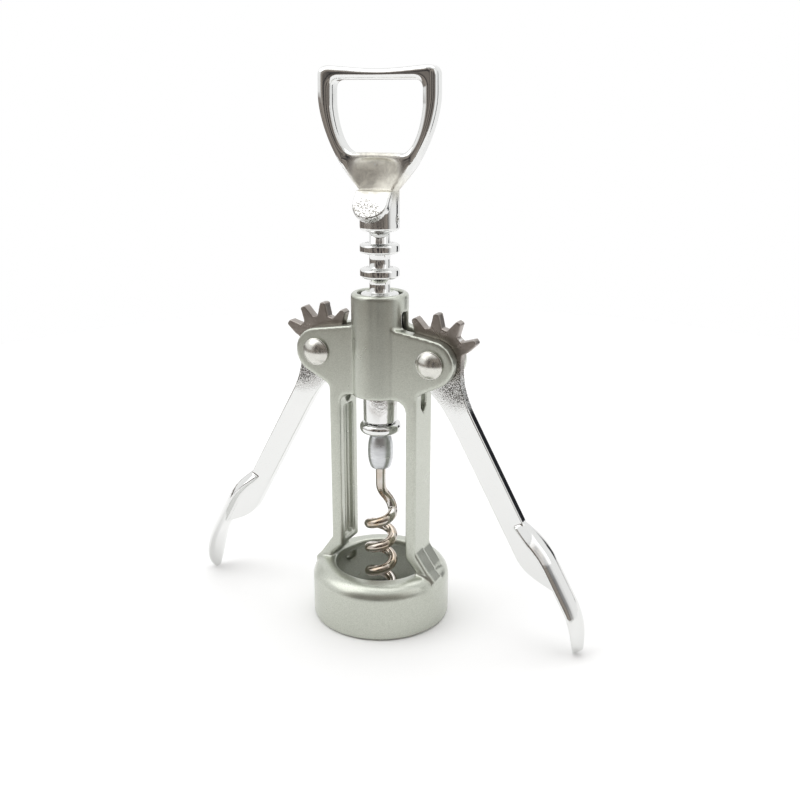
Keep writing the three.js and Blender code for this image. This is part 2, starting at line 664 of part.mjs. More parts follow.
/** The cross pin's place: a rod along X through collar and spindle. */
function pinRod(radius, extra) {
  const length = 2 * (COLLAR_RADIUS - PIN_INSET + extra);
  const rodGeometry = new THREE.CylinderGeometry(radius, radius, length, SMALL).rotateZ(Math.PI / 2);
  return solid(rodGeometry.translate(0, 0, COLLAR_BOTTOM + PIN_HEIGHT));
}

function stopRing() {
  const bore = STUB_RADIUS + CLEARANCE;
  const round = STOP_HEIGHT / 2 - 0.2;
  const top = STOP_BOTTOM + STOP_HEIGHT;
  const ring = lathe([
    [bore, STOP_BOTTOM],
    ...arc(STOP_RADIUS - round, STOP_BOTTOM + round, round, -90, 0, 4),
    ...arc(STOP_RADIUS - round, top - round, round, 0, 90, 4),
    [bore, top],
  ], MEDIUM);
  return piece('stop_ring', ring, 'chrome');
}

function wormFerrule() {
  const bore = WIRE_RADIUS + CLEARANCE;
  const middle = (FERRULE_TOP + FERRULE_BOTTOM) / 2;
  const flank = [];
  const steps = 8;
  for (let i = 0; i <= steps; i += 1) {
    const t = 2 * i / steps - 1;
    const swell = 1 - Math.abs(t) ** FERRULE_SWELL;
    flank.push([
      FERRULE_END_RADIUS + (FERRULE_RADIUS - FERRULE_END_RADIUS) * swell,
      middle + t * FERRULE_LENGTH / 2,
    ]);
  }
  return piece('worm_ferrule', lathe([[bore, FERRULE_BOTTOM], ...flank, [bore, FERRULE_TOP]], MEDIUM),
    'satin');
}

/** Right-handed helix that leaves the axis in a smooth bend and ends in a slanting point. */
function worm() {
  const helixTurns = (HELIX_TOP - WORM_TIP) / HELIX_PITCH;
  const points = [
    new THREE.Vector3(0, 0, SPINDLE_BOTTOM + SHANK_GRIP - CLEARANCE),
    new THREE.Vector3(0, 0, (SPINDLE_BOTTOM + SHANK_BOTTOM) / 2),
    new THREE.Vector3(0, 0, SHANK_BOTTOM + 2),
  ];
  const perTurn = 12;
  const bendTurns = BEND_TURN / 360;
  const bendSteps = 8;
  const helixSteps = Math.round(helixTurns * perTurn);
  for (let i = -bendSteps; i <= helixSteps; i += 1) {
    const turn = i < 0 ? bendTurns * i / bendSteps : helixTurns * i / helixSteps;
    const spread = turn < 0 ? THREE.MathUtils.smootherstep(1 + turn / bendTurns, 0, 1) : 1;
    const z = turn < 0 ? HELIX_TOP - turn / bendTurns * BEND_HEIGHT : HELIX_TOP - turn * HELIX_PITCH;
    const angle = HELIX_START * RAD - turn * 2 * Math.PI;
    points.push(new THREE.Vector3(
      HELIX_RADIUS * spread * Math.cos(angle),
      HELIX_RADIUS * spread * Math.sin(angle),
      z,
    ));
  }
  const path = new THREE.CatmullRomCurve3(points, false, 'centripetal');
  return piece('worm', pointedWire(path, Math.round(points.length * WIRE_STEPS)), 'steel');
}

/** Wire led along a path, which thins over its last stretch to a point. */
function pointedWire(path, steps) {
  const tube = new THREE.TubeGeometry(path, steps, WIRE_RADIUS, WIRE_SIDES, false);
  const place = tube.attributes.position;
  const ringSize = WIRE_SIDES + 1;
  const length = path.getLength();
  const vertex = new THREE.Vector3();
  for (let ring = 0; ring <= steps; ring += 1) {
    const centre = path.getPointAt(ring / steps);
    const left = length * (1 - ring / steps);
    const share = Math.min(1, POINT_END + (1 - POINT_END) * (left / POINT_LENGTH) ** POINT_POWER);
    for (let i = ring * ringSize; i < (ring + 1) * ringSize; i += 1) {
      vertex.fromBufferAttribute(place, i).sub(centre).multiplyScalar(share).add(centre);
      place.setXYZ(i, vertex.x, vertex.y, vertex.z);
    }
  }
  const triangles = Array.from(tube.index.array);
  const last = steps * ringSize;
  for (let i = 1; i < WIRE_SIDES - 1; i += 1) {
    triangles.push(0, i, i + 1);
    triangles.push(last, last + i + 1, last + i);
  }
  tube.setIndex(triangles);
  return solid(tube);
}

// ---- handle --------------------------------------------------------------------------------------

/** Outline of the opener head in X-Z, with its opening as a hole. */
function headShape() {
  const half = HEAD_HALF_WIDTH;
  const neck = COLLAR_RADIUS - NECK_INSET;
  const wide = HEAD_TOP - HEAD_SHOULDER;
  const swell = [0.64 * half, HEAD_BOTTOM + HEAD_HEIGHT / 6.5];
  const rise = wide - HEAD_HEIGHT / 3.6;
  const side = half - HEAD_CORNER;
  const outline = new THREE.Shape();
  outline.moveTo(neck, HEAD_BOTTOM - NECK_SINK);
  outline.lineTo(neck, HEAD_BOTTOM);
  outline.bezierCurveTo(swell[0], swell[1], half, rise, half, wide);
  outline.lineTo(half, HEAD_TOP - HEAD_CORNER);
  outline.quadraticCurveTo(half, HEAD_TOP, side, HEAD_TOP);
  outline.quadraticCurveTo(0, HEAD_TOP - 2 * HEAD_SADDLE, -side, HEAD_TOP);
  outline.quadraticCurveTo(-half, HEAD_TOP, -half, HEAD_TOP - HEAD_CORNER);
  outline.lineTo(-half, wide);
  outline.bezierCurveTo(-half, rise, -swell[0], swell[1], -neck, HEAD_BOTTOM);
  outline.lineTo(-neck, HEAD_BOTTOM - NECK_SINK);
  outline.holes.push(headOpening(wide - HEAD_CORNER));
  return outline;
}

/** The head's opening: a flat lower side, swelling sides up to a height, rounded top corners. */
function headOpening(sideTop) {
  const inner = HEAD_HALF_WIDTH - HEAD_ARM;
  const top = HEAD_TOP - HEAD_BAR;
  const low = sideTop - WEB_TOP;
  const flat = OPENING_BASE * inner;
  const round = OPENING_CORNER;
  const leave = [OPENING_LEAVE[0] * inner, WEB_TOP + OPENING_LEAVE[1] * low];
  const join = [OPENING_JOIN[0] * inner, WEB_TOP + OPENING_JOIN[1] * low];
  const hole = new THREE.Path();
  hole.moveTo(flat, WEB_TOP);
  hole.bezierCurveTo(...leave, ...join, inner, sideTop);
  hole.lineTo(inner, top - round);
  hole.quadraticCurveTo(inner, top, inner - round, top);
  hole.lineTo(-inner + round, top);
  hole.quadraticCurveTo(-inner, top, -inner, top - round);
  hole.lineTo(-inner, sideTop);
  hole.bezierCurveTo(-join[0], join[1], -leave[0], leave[1], -flat, WEB_TOP);
  return hole;
}

function openerHead() {
  const flat = new THREE.ExtrudeGeometry(headShape(), {
    depth: HEAD_DEPTH - 2 * HEAD_ROUND,
    bevelThickness: HEAD_ROUND,
    bevelSize: HEAD_ROUND,
    bevelOffset: -HEAD_ROUND,
    bevelSegments: 2,
    curveSegments: 10,
  });
  return solid(flat.translate(0, 0, -HEAD_DEPTH / 2 + HEAD_ROUND).rotateX(Math.PI / 2));
}

/** Recess on one face of the web, between the neck and the opening's lip. */
function webDish(face) {
  const bottom = HEAD_BOTTOM + CLEARANCE;
  const corner = WEB_TOP - WEB_LIP - DISH_CROWN / 2;
  const narrow = COLLAR_RADIUS - NECK_INSET - DISH_INSET;
  const wide = narrow + DISH_FLARE;
  const bellyX = narrow + DISH_BELLY;
  const bellyZ = bottom + (corner - bottom) / 2;
  const dish = new THREE.Shape();
  dish.moveTo(-narrow, bottom);
  dish.lineTo(narrow, bottom);
  dish.quadraticCurveTo(bellyX, bellyZ, wide, corner);
  dish.quadraticCurveTo(0, corner + 2 * DISH_CROWN, -wide, corner);
  dish.quadraticCurveTo(-bellyX, bellyZ, -narrow, bottom);
  return plate(dish, 2 * WEB_DISH).translate([0, face * HEAD_DEPTH / 2, 0]);
}

/** Opener tongue: a lip in front of the neck, sloping outwards to a round end, clear of the barrel. */
function tongue() {
  const above = 2 * PAST;
  const straight = TONGUE_LENGTH - TONGUE_RADIUS;
  const half = new THREE.Shape();
  half.moveTo(TONGUE_RADIUS, above);
  half.lineTo(TONGUE_RADIUS, -straight);
  half.absarc(0, -straight, TONGUE_RADIUS, 0, -Math.PI, true);
  half.lineTo(-TONGUE_RADIUS, above);
  const flat = new THREE.ExtrudeGeometry(half, {
    depth: TONGUE_THICKNESS,
    bevelEnabled: false,
    curveSegments: 10,
  });
  flat.translate(0, 0, -TONGUE_THICKNESS);
  flat.rotateX(Math.PI / 2 - TONGUE_TILT * RAD).translate(0, -TONGUE_ROOT, HEAD_BOTTOM);
  const slab = solid(flat);
  const reach = TONGUE_ROOT + TONGUE_LENGTH + TONGUE_THICKNESS;
  const room = block([-reach, -reach, HEAD_BOTTOM - reach], [reach, 0, HEAD_BOTTOM]);
  const raised = BARREL_TOP + LIFT + CLEARANCE;
  const barrelRoom = rod(BARREL_RADIUS + CLEARANCE, COLLAR_BOTTOM, raised, MEDIUM);
  return slab.intersect(room).subtract(barrelRoom);
}

function handle() {
  const collar = lathe([
    [0, COLLAR_BOTTOM],
    [COLLAR_RADIUS - COLLAR_CHAMFER, COLLAR_BOTTOM],
    [COLLAR_RADIUS, COLLAR_BOTTOM + COLLAR_CHAMFER],
    [COLLAR_RADIUS, HEAD_BOTTOM - COLLAR_CHAMFER],
    [COLLAR_RADIUS - COLLAR_CHAMFER, HEAD_BOTTOM],
    [0, HEAD_BOTTOM],
  ], MEDIUM);
  let body = collar.add(openerHead()).add(tongue());
  for (const face of [1, -1]) body = body.subtract(webDish(face));
  body = body.subtract(rod(RACK_CORE_RADIUS + CLEARANCE, COLLAR_BOTTOM - PAST, SPINDLE_TOP, MEDIUM));
  body = body.subtract(pinRod(PIN_RADIUS + CLEARANCE, PAST));
  return piece('handle', body, 'chrome');
}

function handlePin() {
  return piece('handle_pin', pinRod(PIN_RADIUS, 0), 'nickel');
}

// ---- assembly ------------------------------------------------------------------------------------

const group = new THREE.Group();
const turning = new THREE.Group();
turning.rotation.z = HANDLE_TURN * RAD;
turning.add(rackSpindle(), wormFerrule(), worm(), handle(), handlePin());
const leverBody = leverSolid();
group.add(frame());
group.add(lever('right_lever', 1, leverBody));
group.add(lever('left_lever', -1, leverBody));
group.add(rivet('right_rivet', 1));
group.add(rivet('left_rivet', -1));
group.add(stopRing());
group.add(turning);

export default group;
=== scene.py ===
"""Lever corkscrew: the finished look of each casting, turned part and wire, built round its CAD frame.

All shaping is done in millimetres and is brought to metres when a piece is finished.
"""

import logging
import math
from collections.abc import Iterable
from dataclasses import dataclass, field
from enum import Enum

import bmesh
import bpy
from mathutils import Matrix, Vector


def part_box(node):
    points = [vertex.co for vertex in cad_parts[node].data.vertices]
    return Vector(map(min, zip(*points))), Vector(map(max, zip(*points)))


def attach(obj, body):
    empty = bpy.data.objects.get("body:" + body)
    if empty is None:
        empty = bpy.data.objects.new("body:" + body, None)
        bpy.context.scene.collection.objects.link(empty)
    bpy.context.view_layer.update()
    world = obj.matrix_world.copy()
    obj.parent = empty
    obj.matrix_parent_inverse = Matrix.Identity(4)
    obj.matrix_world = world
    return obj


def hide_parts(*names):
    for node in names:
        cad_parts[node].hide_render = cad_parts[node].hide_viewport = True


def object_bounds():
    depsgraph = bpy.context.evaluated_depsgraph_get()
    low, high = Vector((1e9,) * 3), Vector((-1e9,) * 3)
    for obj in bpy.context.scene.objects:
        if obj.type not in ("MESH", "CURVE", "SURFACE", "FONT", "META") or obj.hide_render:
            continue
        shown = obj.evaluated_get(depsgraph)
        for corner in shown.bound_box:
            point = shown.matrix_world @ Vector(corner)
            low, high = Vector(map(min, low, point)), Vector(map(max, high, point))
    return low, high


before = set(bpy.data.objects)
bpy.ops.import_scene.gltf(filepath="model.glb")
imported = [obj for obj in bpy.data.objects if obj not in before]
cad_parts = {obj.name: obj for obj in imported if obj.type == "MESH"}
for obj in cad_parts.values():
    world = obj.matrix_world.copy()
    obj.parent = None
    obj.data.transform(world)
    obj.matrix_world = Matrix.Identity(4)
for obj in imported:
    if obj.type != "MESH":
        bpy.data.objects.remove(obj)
CAD_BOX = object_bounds()

log = logging.getLogger("lever_corkscrew")

MM = 0.001
BOOLEAN_SETTLE = 1e-4

Point = tuple[float, float]


class Join(Enum):
    """How one solid is worked into another."""

    ADD = "UNION"
    CUT = "DIFFERENCE"
    SHARE = "INTERSECT"


class Slot(Enum):
    """The record's material slots."""

    PAINT = "frame_paint"
    CHROME = "chrome"
    NICKEL = "rivet_nickel"
    SATIN = "ferrule_satin"
    STEEL = "worm_steel"


# ---- outlines ------------------------------------------------------------------------------------


def arc(centre: Point, radius: float, start: float, end: float, steps: int) -> list[Point]:
    """Work out points along an arc.

    Args:
        centre: middle of the circle.
        radius: its radius.
        start: first angle in degrees.
        end: last angle in degrees.
        steps: how many chords the arc has.

    Returns:
        The points, with both ends.
    """
    angles = [math.radians(start + (end - start) * i / steps) for i in range(steps + 1)]
    return [(centre[0] + radius * math.cos(t), centre[1] + radius * math.sin(t)) for t in angles]


def curve(start: Point, handle_a: Point, handle_b: Point, end: Point, steps: int = 12) -> list[Point]:
    """Work out points along a cubic curve, without its first point.

    Args:
        start: where it begins.
        handle_a: first handle.
        handle_b: second handle.
        end: where it ends.
        steps: how many chords it has.

    Returns:
        The points after the first one.
    """
    points = []
    for i in range(1, steps + 1):
        t = i / steps
        weights = ((1 - t) ** 3, 3 * t * (1 - t) ** 2, 3 * t * t * (1 - t), t ** 3)
        corners = (start, handle_a, handle_b, end)
        points.append(tuple(sum(w * c[k] for w, c in zip(weights, corners)) for k in (0, 1)))
    return points


def mirrored(points: list[Point]) -> list[Point]:
    """Give the same points on the other side of x = 0, in the order that carries an outline on."""
    return [(-x, z) for x, z in reversed(points)]


def centre_and_size(node: str) -> tuple[Vector, Vector]:
    """Read a CAD node's box.

    Args:
        node: name of the node.

    Returns:
        The box's centre and its size, in millimetres.
    """
    low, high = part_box(node)
    return (low + high) / (2 * MM), (high - low) / MM


# ---- solids --------------------------------------------------------------------------------------


class Blank:
    """A closed solid that is being shaped, in millimetres."""

    def __init__(self) -> None:
        """Start with nothing."""
        self.mesh = bmesh.new()

    @classmethod
    def plate(cls, outline: list[Point], depth: float, middle: float = 0.0) -> "Blank":
        """Make a plate from an X-Z outline.

        Args:
            outline: the corners in order.
            depth: thickness along Y.
            middle: the Y of the plate's middle.

        Returns:
            The plate.
        """
        blank = cls()
        corners = [blank.mesh.verts.new((x, middle - depth / 2, z)) for x, z in outline]
        face = blank.mesh.faces.new(corners)
        made = bmesh.ops.extrude_face_region(blank.mesh, geom=[face])["geom"]
        moved = [part for part in made if isinstance(part, bmesh.types.BMVert)]
        bmesh.ops.translate(blank.mesh, verts=moved, vec=(0, depth, 0))
        return blank.settled()

    @classmethod
    def turned(cls, profile: list[Point], steps: int = 96) -> "Blank":
        """Turn a profile of radius and height round the Z axis.

        Args:
            profile: the corners; a profile that doesn't touch the axis closes on itself.
            steps: facets of the full turn.

        Returns:
            The turned solid.
        """
        blank = cls()
        corners = [blank.mesh.verts.new((r, 0, z)) for r, z in profile]
        pairs = list(zip(corners, corners[1:]))
        if profile[0][0] > 0:
            pairs.append((corners[-1], corners[0]))
        edges = [blank.mesh.edges.new(pair) for pair in pairs]
        bmesh.ops.spin(blank.mesh, geom=corners + edges, cent=(0, 0, 0), axis=(0, 0, 1),
                       angle=2 * math.pi, steps=steps, use_merge=True)
        return blank.settled()

    @classmethod
    def rod(cls, radius: float, start: Vector, end: Vector, steps: int = 48) -> "Blank":
        """Make a straight rod.

        Args:
            radius: its radius.
            start: middle of one end.
            end: middle of the other end.
            steps: facets round it.

        Returns:
            The rod.
        """
        blank = cls()
        along = Vector(end) - Vector(start)
        place = Matrix.Translation((Vector(start) + Vector(end)) / 2)
        turn = along.to_track_quat("Z", "Y").to_matrix().to_4x4()
        bmesh.ops.create_cone(blank.mesh, cap_ends=True, segments=steps, radius1=radius,
                              radius2=radius, depth=along.length, matrix=place @ turn)
        return blank

    @classmethod
    def swept(cls, section: list[Point], stations: list[tuple[float, float, float]]) -> "Blank":
        """Lead a section along X.

        Args:
            section: corners as Y and Z.
            stations: for each step its X, how far it is raised along Z, and its width as a share.

        Returns:
            The swept solid.
        """
        blank = cls()
        at, raised, width = stations[0]
        face = blank.mesh.faces.new([blank.mesh.verts.new((at, y * width, z + raised)) for y, z in section])
        for step, (ahead, lift, share) in enumerate(stations[1:]):
            before = stations[step]
            made = bmesh.ops.extrude_face_region(blank.mesh, geom=[face])["geom"]
            face = next(part for part in made if isinstance(part, bmesh.types.BMFace))
            moved = [part for part in made if isinstance(part, bmesh.types.BMVert)]
            bmesh.ops.translate(blank.mesh, verts=moved, vec=(ahead - before[0], 0, lift - before[1]))
            bmesh.ops.scale(blank.mesh, verts=moved, vec=(1, share / before[2], 1))
        return blank.settled()

    def settled(self) -> "Blank":
        """Merge doubles and point the faces outwards."""
        bmesh.ops.remove_doubles(self.mesh, verts=self.mesh.verts, dist=BOOLEAN_SETTLE)
        bmesh.ops.recalc_face_normals(self.mesh, faces=self.mesh.faces)
        return self

    def placed(self, matrix: Matrix) -> "Blank":
        """Move or turn the solid."""
        bmesh.ops.transform(self.mesh, matrix=matrix, verts=self.mesh.verts)
        return self

    def copy(self) -> "Blank":
        """Give a second solid of the same shape."""
        twin = Blank()
        twin.mesh = self.mesh.copy()
        return twin

    def rounded(self, radius: float, segments: int, sharper_than: float = 30.0) -> "Blank":
        """Round the edges that are sharper than an angle.

        Args:
            radius: how far the rounding reaches.
            segments: facets across it.
            sharper_than: the angle in degrees.

        Returns:
            The same solid.
        """
        limit = math.radians(sharper_than)
        edges = [e for e in self.mesh.edges if len(e.link_faces) == 2 and e.calc_face_angle() > limit]
        bmesh.ops.bevel(self.mesh, geom=edges, offset=radius, segments=segments, profile=0.5,
                        affect="EDGES", material=-1, clamp_overlap=True)
        return self.settled()

    def _object(self) -> bpy.types.Object:
        """Put the solid into the scene for a modifier to work on."""
        data = bpy.data.meshes.new("blank")
        self.mesh.to_mesh(data)
        item = bpy.data.objects.new("blank", data)
        bpy.context.scene.collection.objects.link(item)
        return item

    def take(self, item: bpy.types.Object) -> None:
        """Read a solid back with its modifiers worked in, and clear it from the scene.

        Args:
            item: the object that carries the modifiers.
        """
        bpy.context.view_layer.update()
        shaped = item.evaluated_get(bpy.context.evaluated_depsgraph_get())
        data = bpy.data.meshes.new_from_object(shaped)
        self.mesh.free()
        self.mesh = bmesh.new()
        self.mesh.from_mesh(data)
        bpy.data.meshes.remove(data)
        bpy.data.objects.remove(item)

    def worked(self, how: Join, tool: "Blank") -> "Blank":
        """Work another solid into this one.

        Args:
            how: add it, cut it away, or keep only what both share.
            tool: the other solid, which is used up.

        Returns:
            The same solid.
        """
        item, other = self._object(), tool._object()
        modifier = item.modifiers.new("work", "BOOLEAN")
        modifier.operation = how.value
        modifier.solver = "EXACT"
        modifier.object = other
        self.take(item)
        bpy.data.objects.remove(other)
        tool.mesh.free()
        return self

    def cast(self, grain: float, passes: int) -> "Blank":
        """Give the solid the soft edges and fillets of a casting.

        Args:
            grain: size of the facets, in millimetres.
            passes: how often the skin is smoothed.

        Returns:
            The same solid.
        """
        item = self._object()
        modifier = item.modifiers.new("skin", "REMESH")
        modifier.mode = "VOXEL"
        modifier.voxel_size = grain
        self.take(item)
        return self._smoothed(self.mesh.verts, passes)

    def _smoothed(self, points: Iterable[bmesh.types.BMVert], passes: int) -> "Blank":
        """Smooth some of the skin.

        Args:
            points: the corners that may move.
            passes: how often they are smoothed.

        Returns:
            The same solid.
        """
        for _ in range(passes):
            bmesh.ops.smooth_vert(self.mesh, verts=points, factor=0.5,
                                  use_axis_x=True, use_axis_y=True, use_axis_z=True)
        return self

    def softened(self, low: Vector, high: Vector, passes: int) -> "Blank":
        """Melt the shapes together inside a box.

        Args:
            low: lowest corner of the box.
            high: highest corner of the box.
            passes: how often the skin is smoothed there.

        Returns:
            The same solid.
        """
        inside = [v for v in self.mesh.verts if all(low[k] < v.co[k] < high[k] for k in range(3))]
        return self._smoothed(inside, passes)

    def finished(self, name: str, body: str, nodes: list[str], slot: Slot,
                 material: bpy.types.Material) -> bpy.types.Object:
        """Bring the solid to metres and hand it over as a piece.

        Args:
            name: name of the piece.
            body: CAD body that it rides on.
            nodes: CAD nodes that it stands for.
            slot: material slot of the record; not used.
            material: its finish.

        Returns:
            The piece.
        """
        self.placed(Matrix.Scale(MM, 4))
        data = bpy.data.meshes.new(name)
        self.mesh.to_mesh(data)
        self.mesh.free()
        data.shade_smooth()
        data.materials.append(material)
        piece = bpy.data.objects.new(name, data)
        bpy.context.scene.collection.objects.link(piece)
        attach(piece, body)
        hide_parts(*nodes)
        log.info("%s: %d faces, rides on %s", name, len(data.polygons), body)
        return piece


# ---- shader wiring -------------------------------------------------------------------------------


class Wiring:
    """Places nodes in one tree and joins them."""

    def __init__(self, tree: bpy.types.NodeTree) -> None:
        """Work on a node tree."""
        self.tree = tree

    def _feed(self, socket: bpy.types.NodeSocket, value: object) -> None:
        """Link a socket to another socket, or give it a value.

        Args:
            socket: the input.
            value: an output socket or a plain value.
        """
        if isinstance(value, bpy.types.NodeSocket):
            self.tree.links.new(value, socket)
        else:
            socket.default_value = value

    def node(self, kind: str, inputs: dict | None = None, **settings: object) -> bpy.types.Node:
        """Place a node.

        Args:
            kind: Blender's name of the node type.
            inputs: values or sockets for its inputs, by name or number.
            settings: properties of the node.

        Returns:
            The node.
        """
        made = self.tree.nodes.new(kind)
        for key, value in settings.items():
            setattr(made, key, value)
        for key, value in (inputs or {}).items():
            self._feed(made.inputs[key], value)
        return made

    def group(self, effect: bpy.types.NodeTree, inputs: dict) -> bpy.types.Node:
        """Place a shared effect, with values or sockets for its inputs."""
        return self.node("ShaderNodeGroup", inputs, node_tree=effect)

    def maths(self, operation: str, *values: object) -> bpy.types.NodeSocket:
        """Reckon with numbers or sockets, by Blender's name of the operation."""
        return self.node("ShaderNodeMath", dict(enumerate(values)), operation=operation).outputs[0]

    def noise(self, coords: bpy.types.NodeSocket, scale: object, detail: float,
              **more: float) -> bpy.types.NodeSocket:
        """Sample a noise.

        Args:
            coords: where it is sampled.
            scale: its scale, as a number or a socket.
            detail: how many finer layers it has.
            more: its other inputs by name.

        Returns:
            The noise, about 0.5.
        """
        inputs = {"Vector": coords, "Scale": scale, "Detail": detail, **more}
        return self.node("ShaderNodeTexNoise", inputs).outputs[0]

    def spread(self, value: bpy.types.NodeSocket, low: float, high: float,
               style: str = "LINEAR") -> bpy.types.NodeSocket:
        """Spread a range of values over 0 to 1.

        Args:
            value: the value.
            low: where 0 begins.
            high: where 1 is reached, which may lie below.
            style: Blender's name of the interpolation.

        Returns:
            The spread value.
        """
        return self.node("ShaderNodeMapRange", {"Value": value, "From Min": low, "From Max": high},
                         interpolation_type=style).outputs[0]

    def blend(self, share: bpy.types.NodeSocket, first: object, second: object) -> bpy.types.NodeSocket:
        """Mix two colours.

        Args:
            share: how much of the second shows.
            first: colour or socket.
            second: colour or socket.

        Returns:
            The mixed colour.
        """
        mix = self.node("ShaderNodeMix", data_type="RGBA")
        for socket, value in zip((mix.inputs[0], mix.inputs[6], mix.inputs[7]), (share, first, second)):
            self._feed(socket, value)
        return mix.outputs[2]


class Effects:
    """The shared surface effects, each one built once."""

    def __init__(self) -> None:
        """Build the node groups."""
        self.grain = self._grain()
        self.handling = self._handling()
        self.flake = self._flake()
        self.nearness = self._nearness()
        self.worn_edge = self._worn_edge()

    @staticmethod
    def _group(name: str, inputs: list[tuple[str, str, float]], outputs: list[str]) -> tuple:
        """Start a node group.

        Args:
            name: its name.
            inputs: name, socket type and value of each input.
            outputs: names of its outputs, all values.

        Returns:
            The tree, its wiring, its input node and its output node.
        """
        tree = bpy.data.node_groups.new(name, "ShaderNodeTree")
        for label, kind, value in inputs:
            socket = tree.interface.new_socket(name=label, in_out="INPUT", socket_type=kind)
            if kind == "NodeSocketFloat":
                socket.default_value = value
        for label in outputs:
            tree.interface.new_socket(name=label, in_out="OUTPUT", socket_type="NodeSocketFloat")
        given = tree.nodes.new("NodeGroupInput")
        result = tree.nodes.new("NodeGroupOutput")
        return tree, Wiring(tree), given, result

    def _grain(self) -> bpy.types.NodeTree:
        """Build the pitted skin that sand casting leaves where it isn't polished off."""
        tree, wire, given, result = self._group(
            "casting_grain",
            [("Vector", "NodeSocketVector", 0.0), ("Scale", "NodeSocketFloat", 2500.0),
             ("Mask", "NodeSocketFloat", 1.0)],
            ["Height", "Pits"])
        mask = given.outputs["Mask"]
        coarse = wire.noise(given.outputs["Vector"], given.outputs["Scale"], 4.0, Roughness=0.7)
        crowded = wire.maths("ADD", coarse, wire.maths("MULTIPLY_ADD", mask, 0.34, -0.3))
        pits = wire.maths("MULTIPLY", wire.spread(crowded, 0.5, 0.57, "SMOOTHSTEP"),
                          wire.spread(mask, 0.0, 0.15))
        tree.links.new(wire.maths("MULTIPLY", coarse, mask), result.inputs["Height"])
        tree.links.new(pits, result.inputs["Pits"])
        return tree

    def _handling(self) -> bpy.types.NodeTree:
        """Build the uneven gloss that wiping and handling leave."""
        tree, wire, given, result = self._group(
            "handling_gloss",
            [("Vector", "NodeSocketVector", 0.0), ("Scale", "NodeSocketFloat", 120.0),
             ("Low", "NodeSocketFloat", 0.1), ("High", "NodeSocketFloat", 0.2)],
            ["Roughness", "Patches"])
        broad = wire.noise(given.outputs["Vector"], given.outputs["Scale"], 5.0,
                           Roughness=0.62, Distortion=0.6)
        gloss = wire.node("ShaderNodeMapRange", {
            "Value": broad, "From Min": 0.3, "From Max": 0.7,
            "To Min": given.outputs["Low"], "To Max": given.outputs["High"]})
        tree.links.new(gloss.outputs[0], result.inputs["Roughness"])
        tree.links.new(broad, result.inputs["Patches"])
        return tree

    def _flake(self) -> bpy.types.NodeTree:
        """Build the fine sparkle of metal flakes in a lacquer."""
        tree, wire, given, result = self._group(
            "metal_flake",
            [("Vector", "NodeSocketVector", 0.0), ("Scale", "NodeSocketFloat", 6000.0)],
            ["Shade"])
        cells = wire.node("ShaderNodeTexVoronoi", {
            "Vector": given.outputs["Vector"], "Scale": given.outputs["Scale"]})
        split = wire.node("ShaderNodeSeparateColor", {0: cells.outputs["Color"]})
        tree.links.new(split.outputs[0], result.inputs["Shade"])
        return tree

    def _nearness(self) -> bpy.types.NodeTree:
        """Build a mask that fades out with the distance from the vector's origin."""
        tree, wire, given, result = self._group(
            "nearness",
            [("Vector", "NodeSocketVector", 0.0), ("Near", "NodeSocketFloat", 0.01),
             ("Far", "NodeSocketFloat", 0.02)],
            ["Mask"])
        far = wire.node("ShaderNodeVectorMath", {0: given.outputs["Vector"]}, operation="LENGTH")
        fade = wire.node("ShaderNodeMapRange", {
            "Value": far.outputs["Value"], "From Min": given.outputs["Near"],
            "From Max": given.outputs["Far"], "To Min": 1.0, "To Max": 0.0},
            interpolation_type="SMOOTHSTEP")
        tree.links.new(fade.outputs[0], result.inputs["Mask"])
        return tree

    def _worn_edge(self) -> bpy.types.NodeTree:
        """Build a mask of the outward edges, where a surface is rubbed bright."""
        tree, wire, given, result = self._group(
            "worn_edge",
            [("Vector", "NodeSocketVector", 0.0), ("Scale", "NodeSocketFloat", 700.0),
             ("Amount", "NodeSocketFloat", 1.0)],
            ["Mask"])
        geometry = wire.node("ShaderNodeNewGeometry")
        edge = wire.spread(geometry.outputs["Pointiness"], 0.53, 0.59, "SMOOTHSTEP")
        broken = wire.maths("MULTIPLY", edge, wire.noise(given.outputs["Vector"],
                                                         given.outputs["Scale"], 3.0))
        amount = wire.maths("MULTIPLY", broken, given.outputs["Amount"])
        tree.links.new(amount, result.inputs["Mask"])
        return tree


# ---- finishes ------------------------------------------------------------------------------------

Colour = tuple[float, float, float, float]


class Surface:
    """A material being made: its wiring, its shader and its coordinates."""

    def __init__(self, name: str, centre: Vector | None = None) -> None:
        """Start a material.

        Args:
            name: its name.
            centre: a point in metres that the pattern is centred on.
        """
        self.material = bpy.data.materials.new(name)
        self.material.use_nodes = True
        tree = self.material.node_tree
        self.wire = Wiring(tree)
        self.shader = tree.nodes["Principled BSDF"]
        coords = tree.nodes.new("ShaderNodeTexCoord").outputs["Object"]
        place = self.wire.node("ShaderNodeMapping", {"Vector": coords})
        place.inputs["Location"].default_value = -(centre or Vector((0, 0, 0)))
        self.coords = place.outputs[0]

    def drive(self, socket: str, source: bpy.types.NodeSocket) -> None:
        """Feed one of the shader's sockets."""
        self.wire.tree.links.new(source, self.shader.inputs[socket])

    def bump(self, height: bpy.types.NodeSocket, distance: float, strength: float = 1.0,
             under: bpy.types.NodeSocket | None = None) -> bpy.types.NodeSocket:
        """Add relief to the shader's normal.

        Args:
            height: the relief.
            distance: its depth in metres.
            strength: how strongly it shows.
            under: a coarser relief beneath it.

        Returns:
            The normal, for another relief on top.
        """
        node = self.wire.node("ShaderNodeBump", {
            "Height": height, "Distance": distance, "Strength": strength})
        if under:
            self.wire.tree.links.new(under, node.inputs["Normal"])
        self.drive("Normal", node.outputs[0])
        return node.outputs[0]


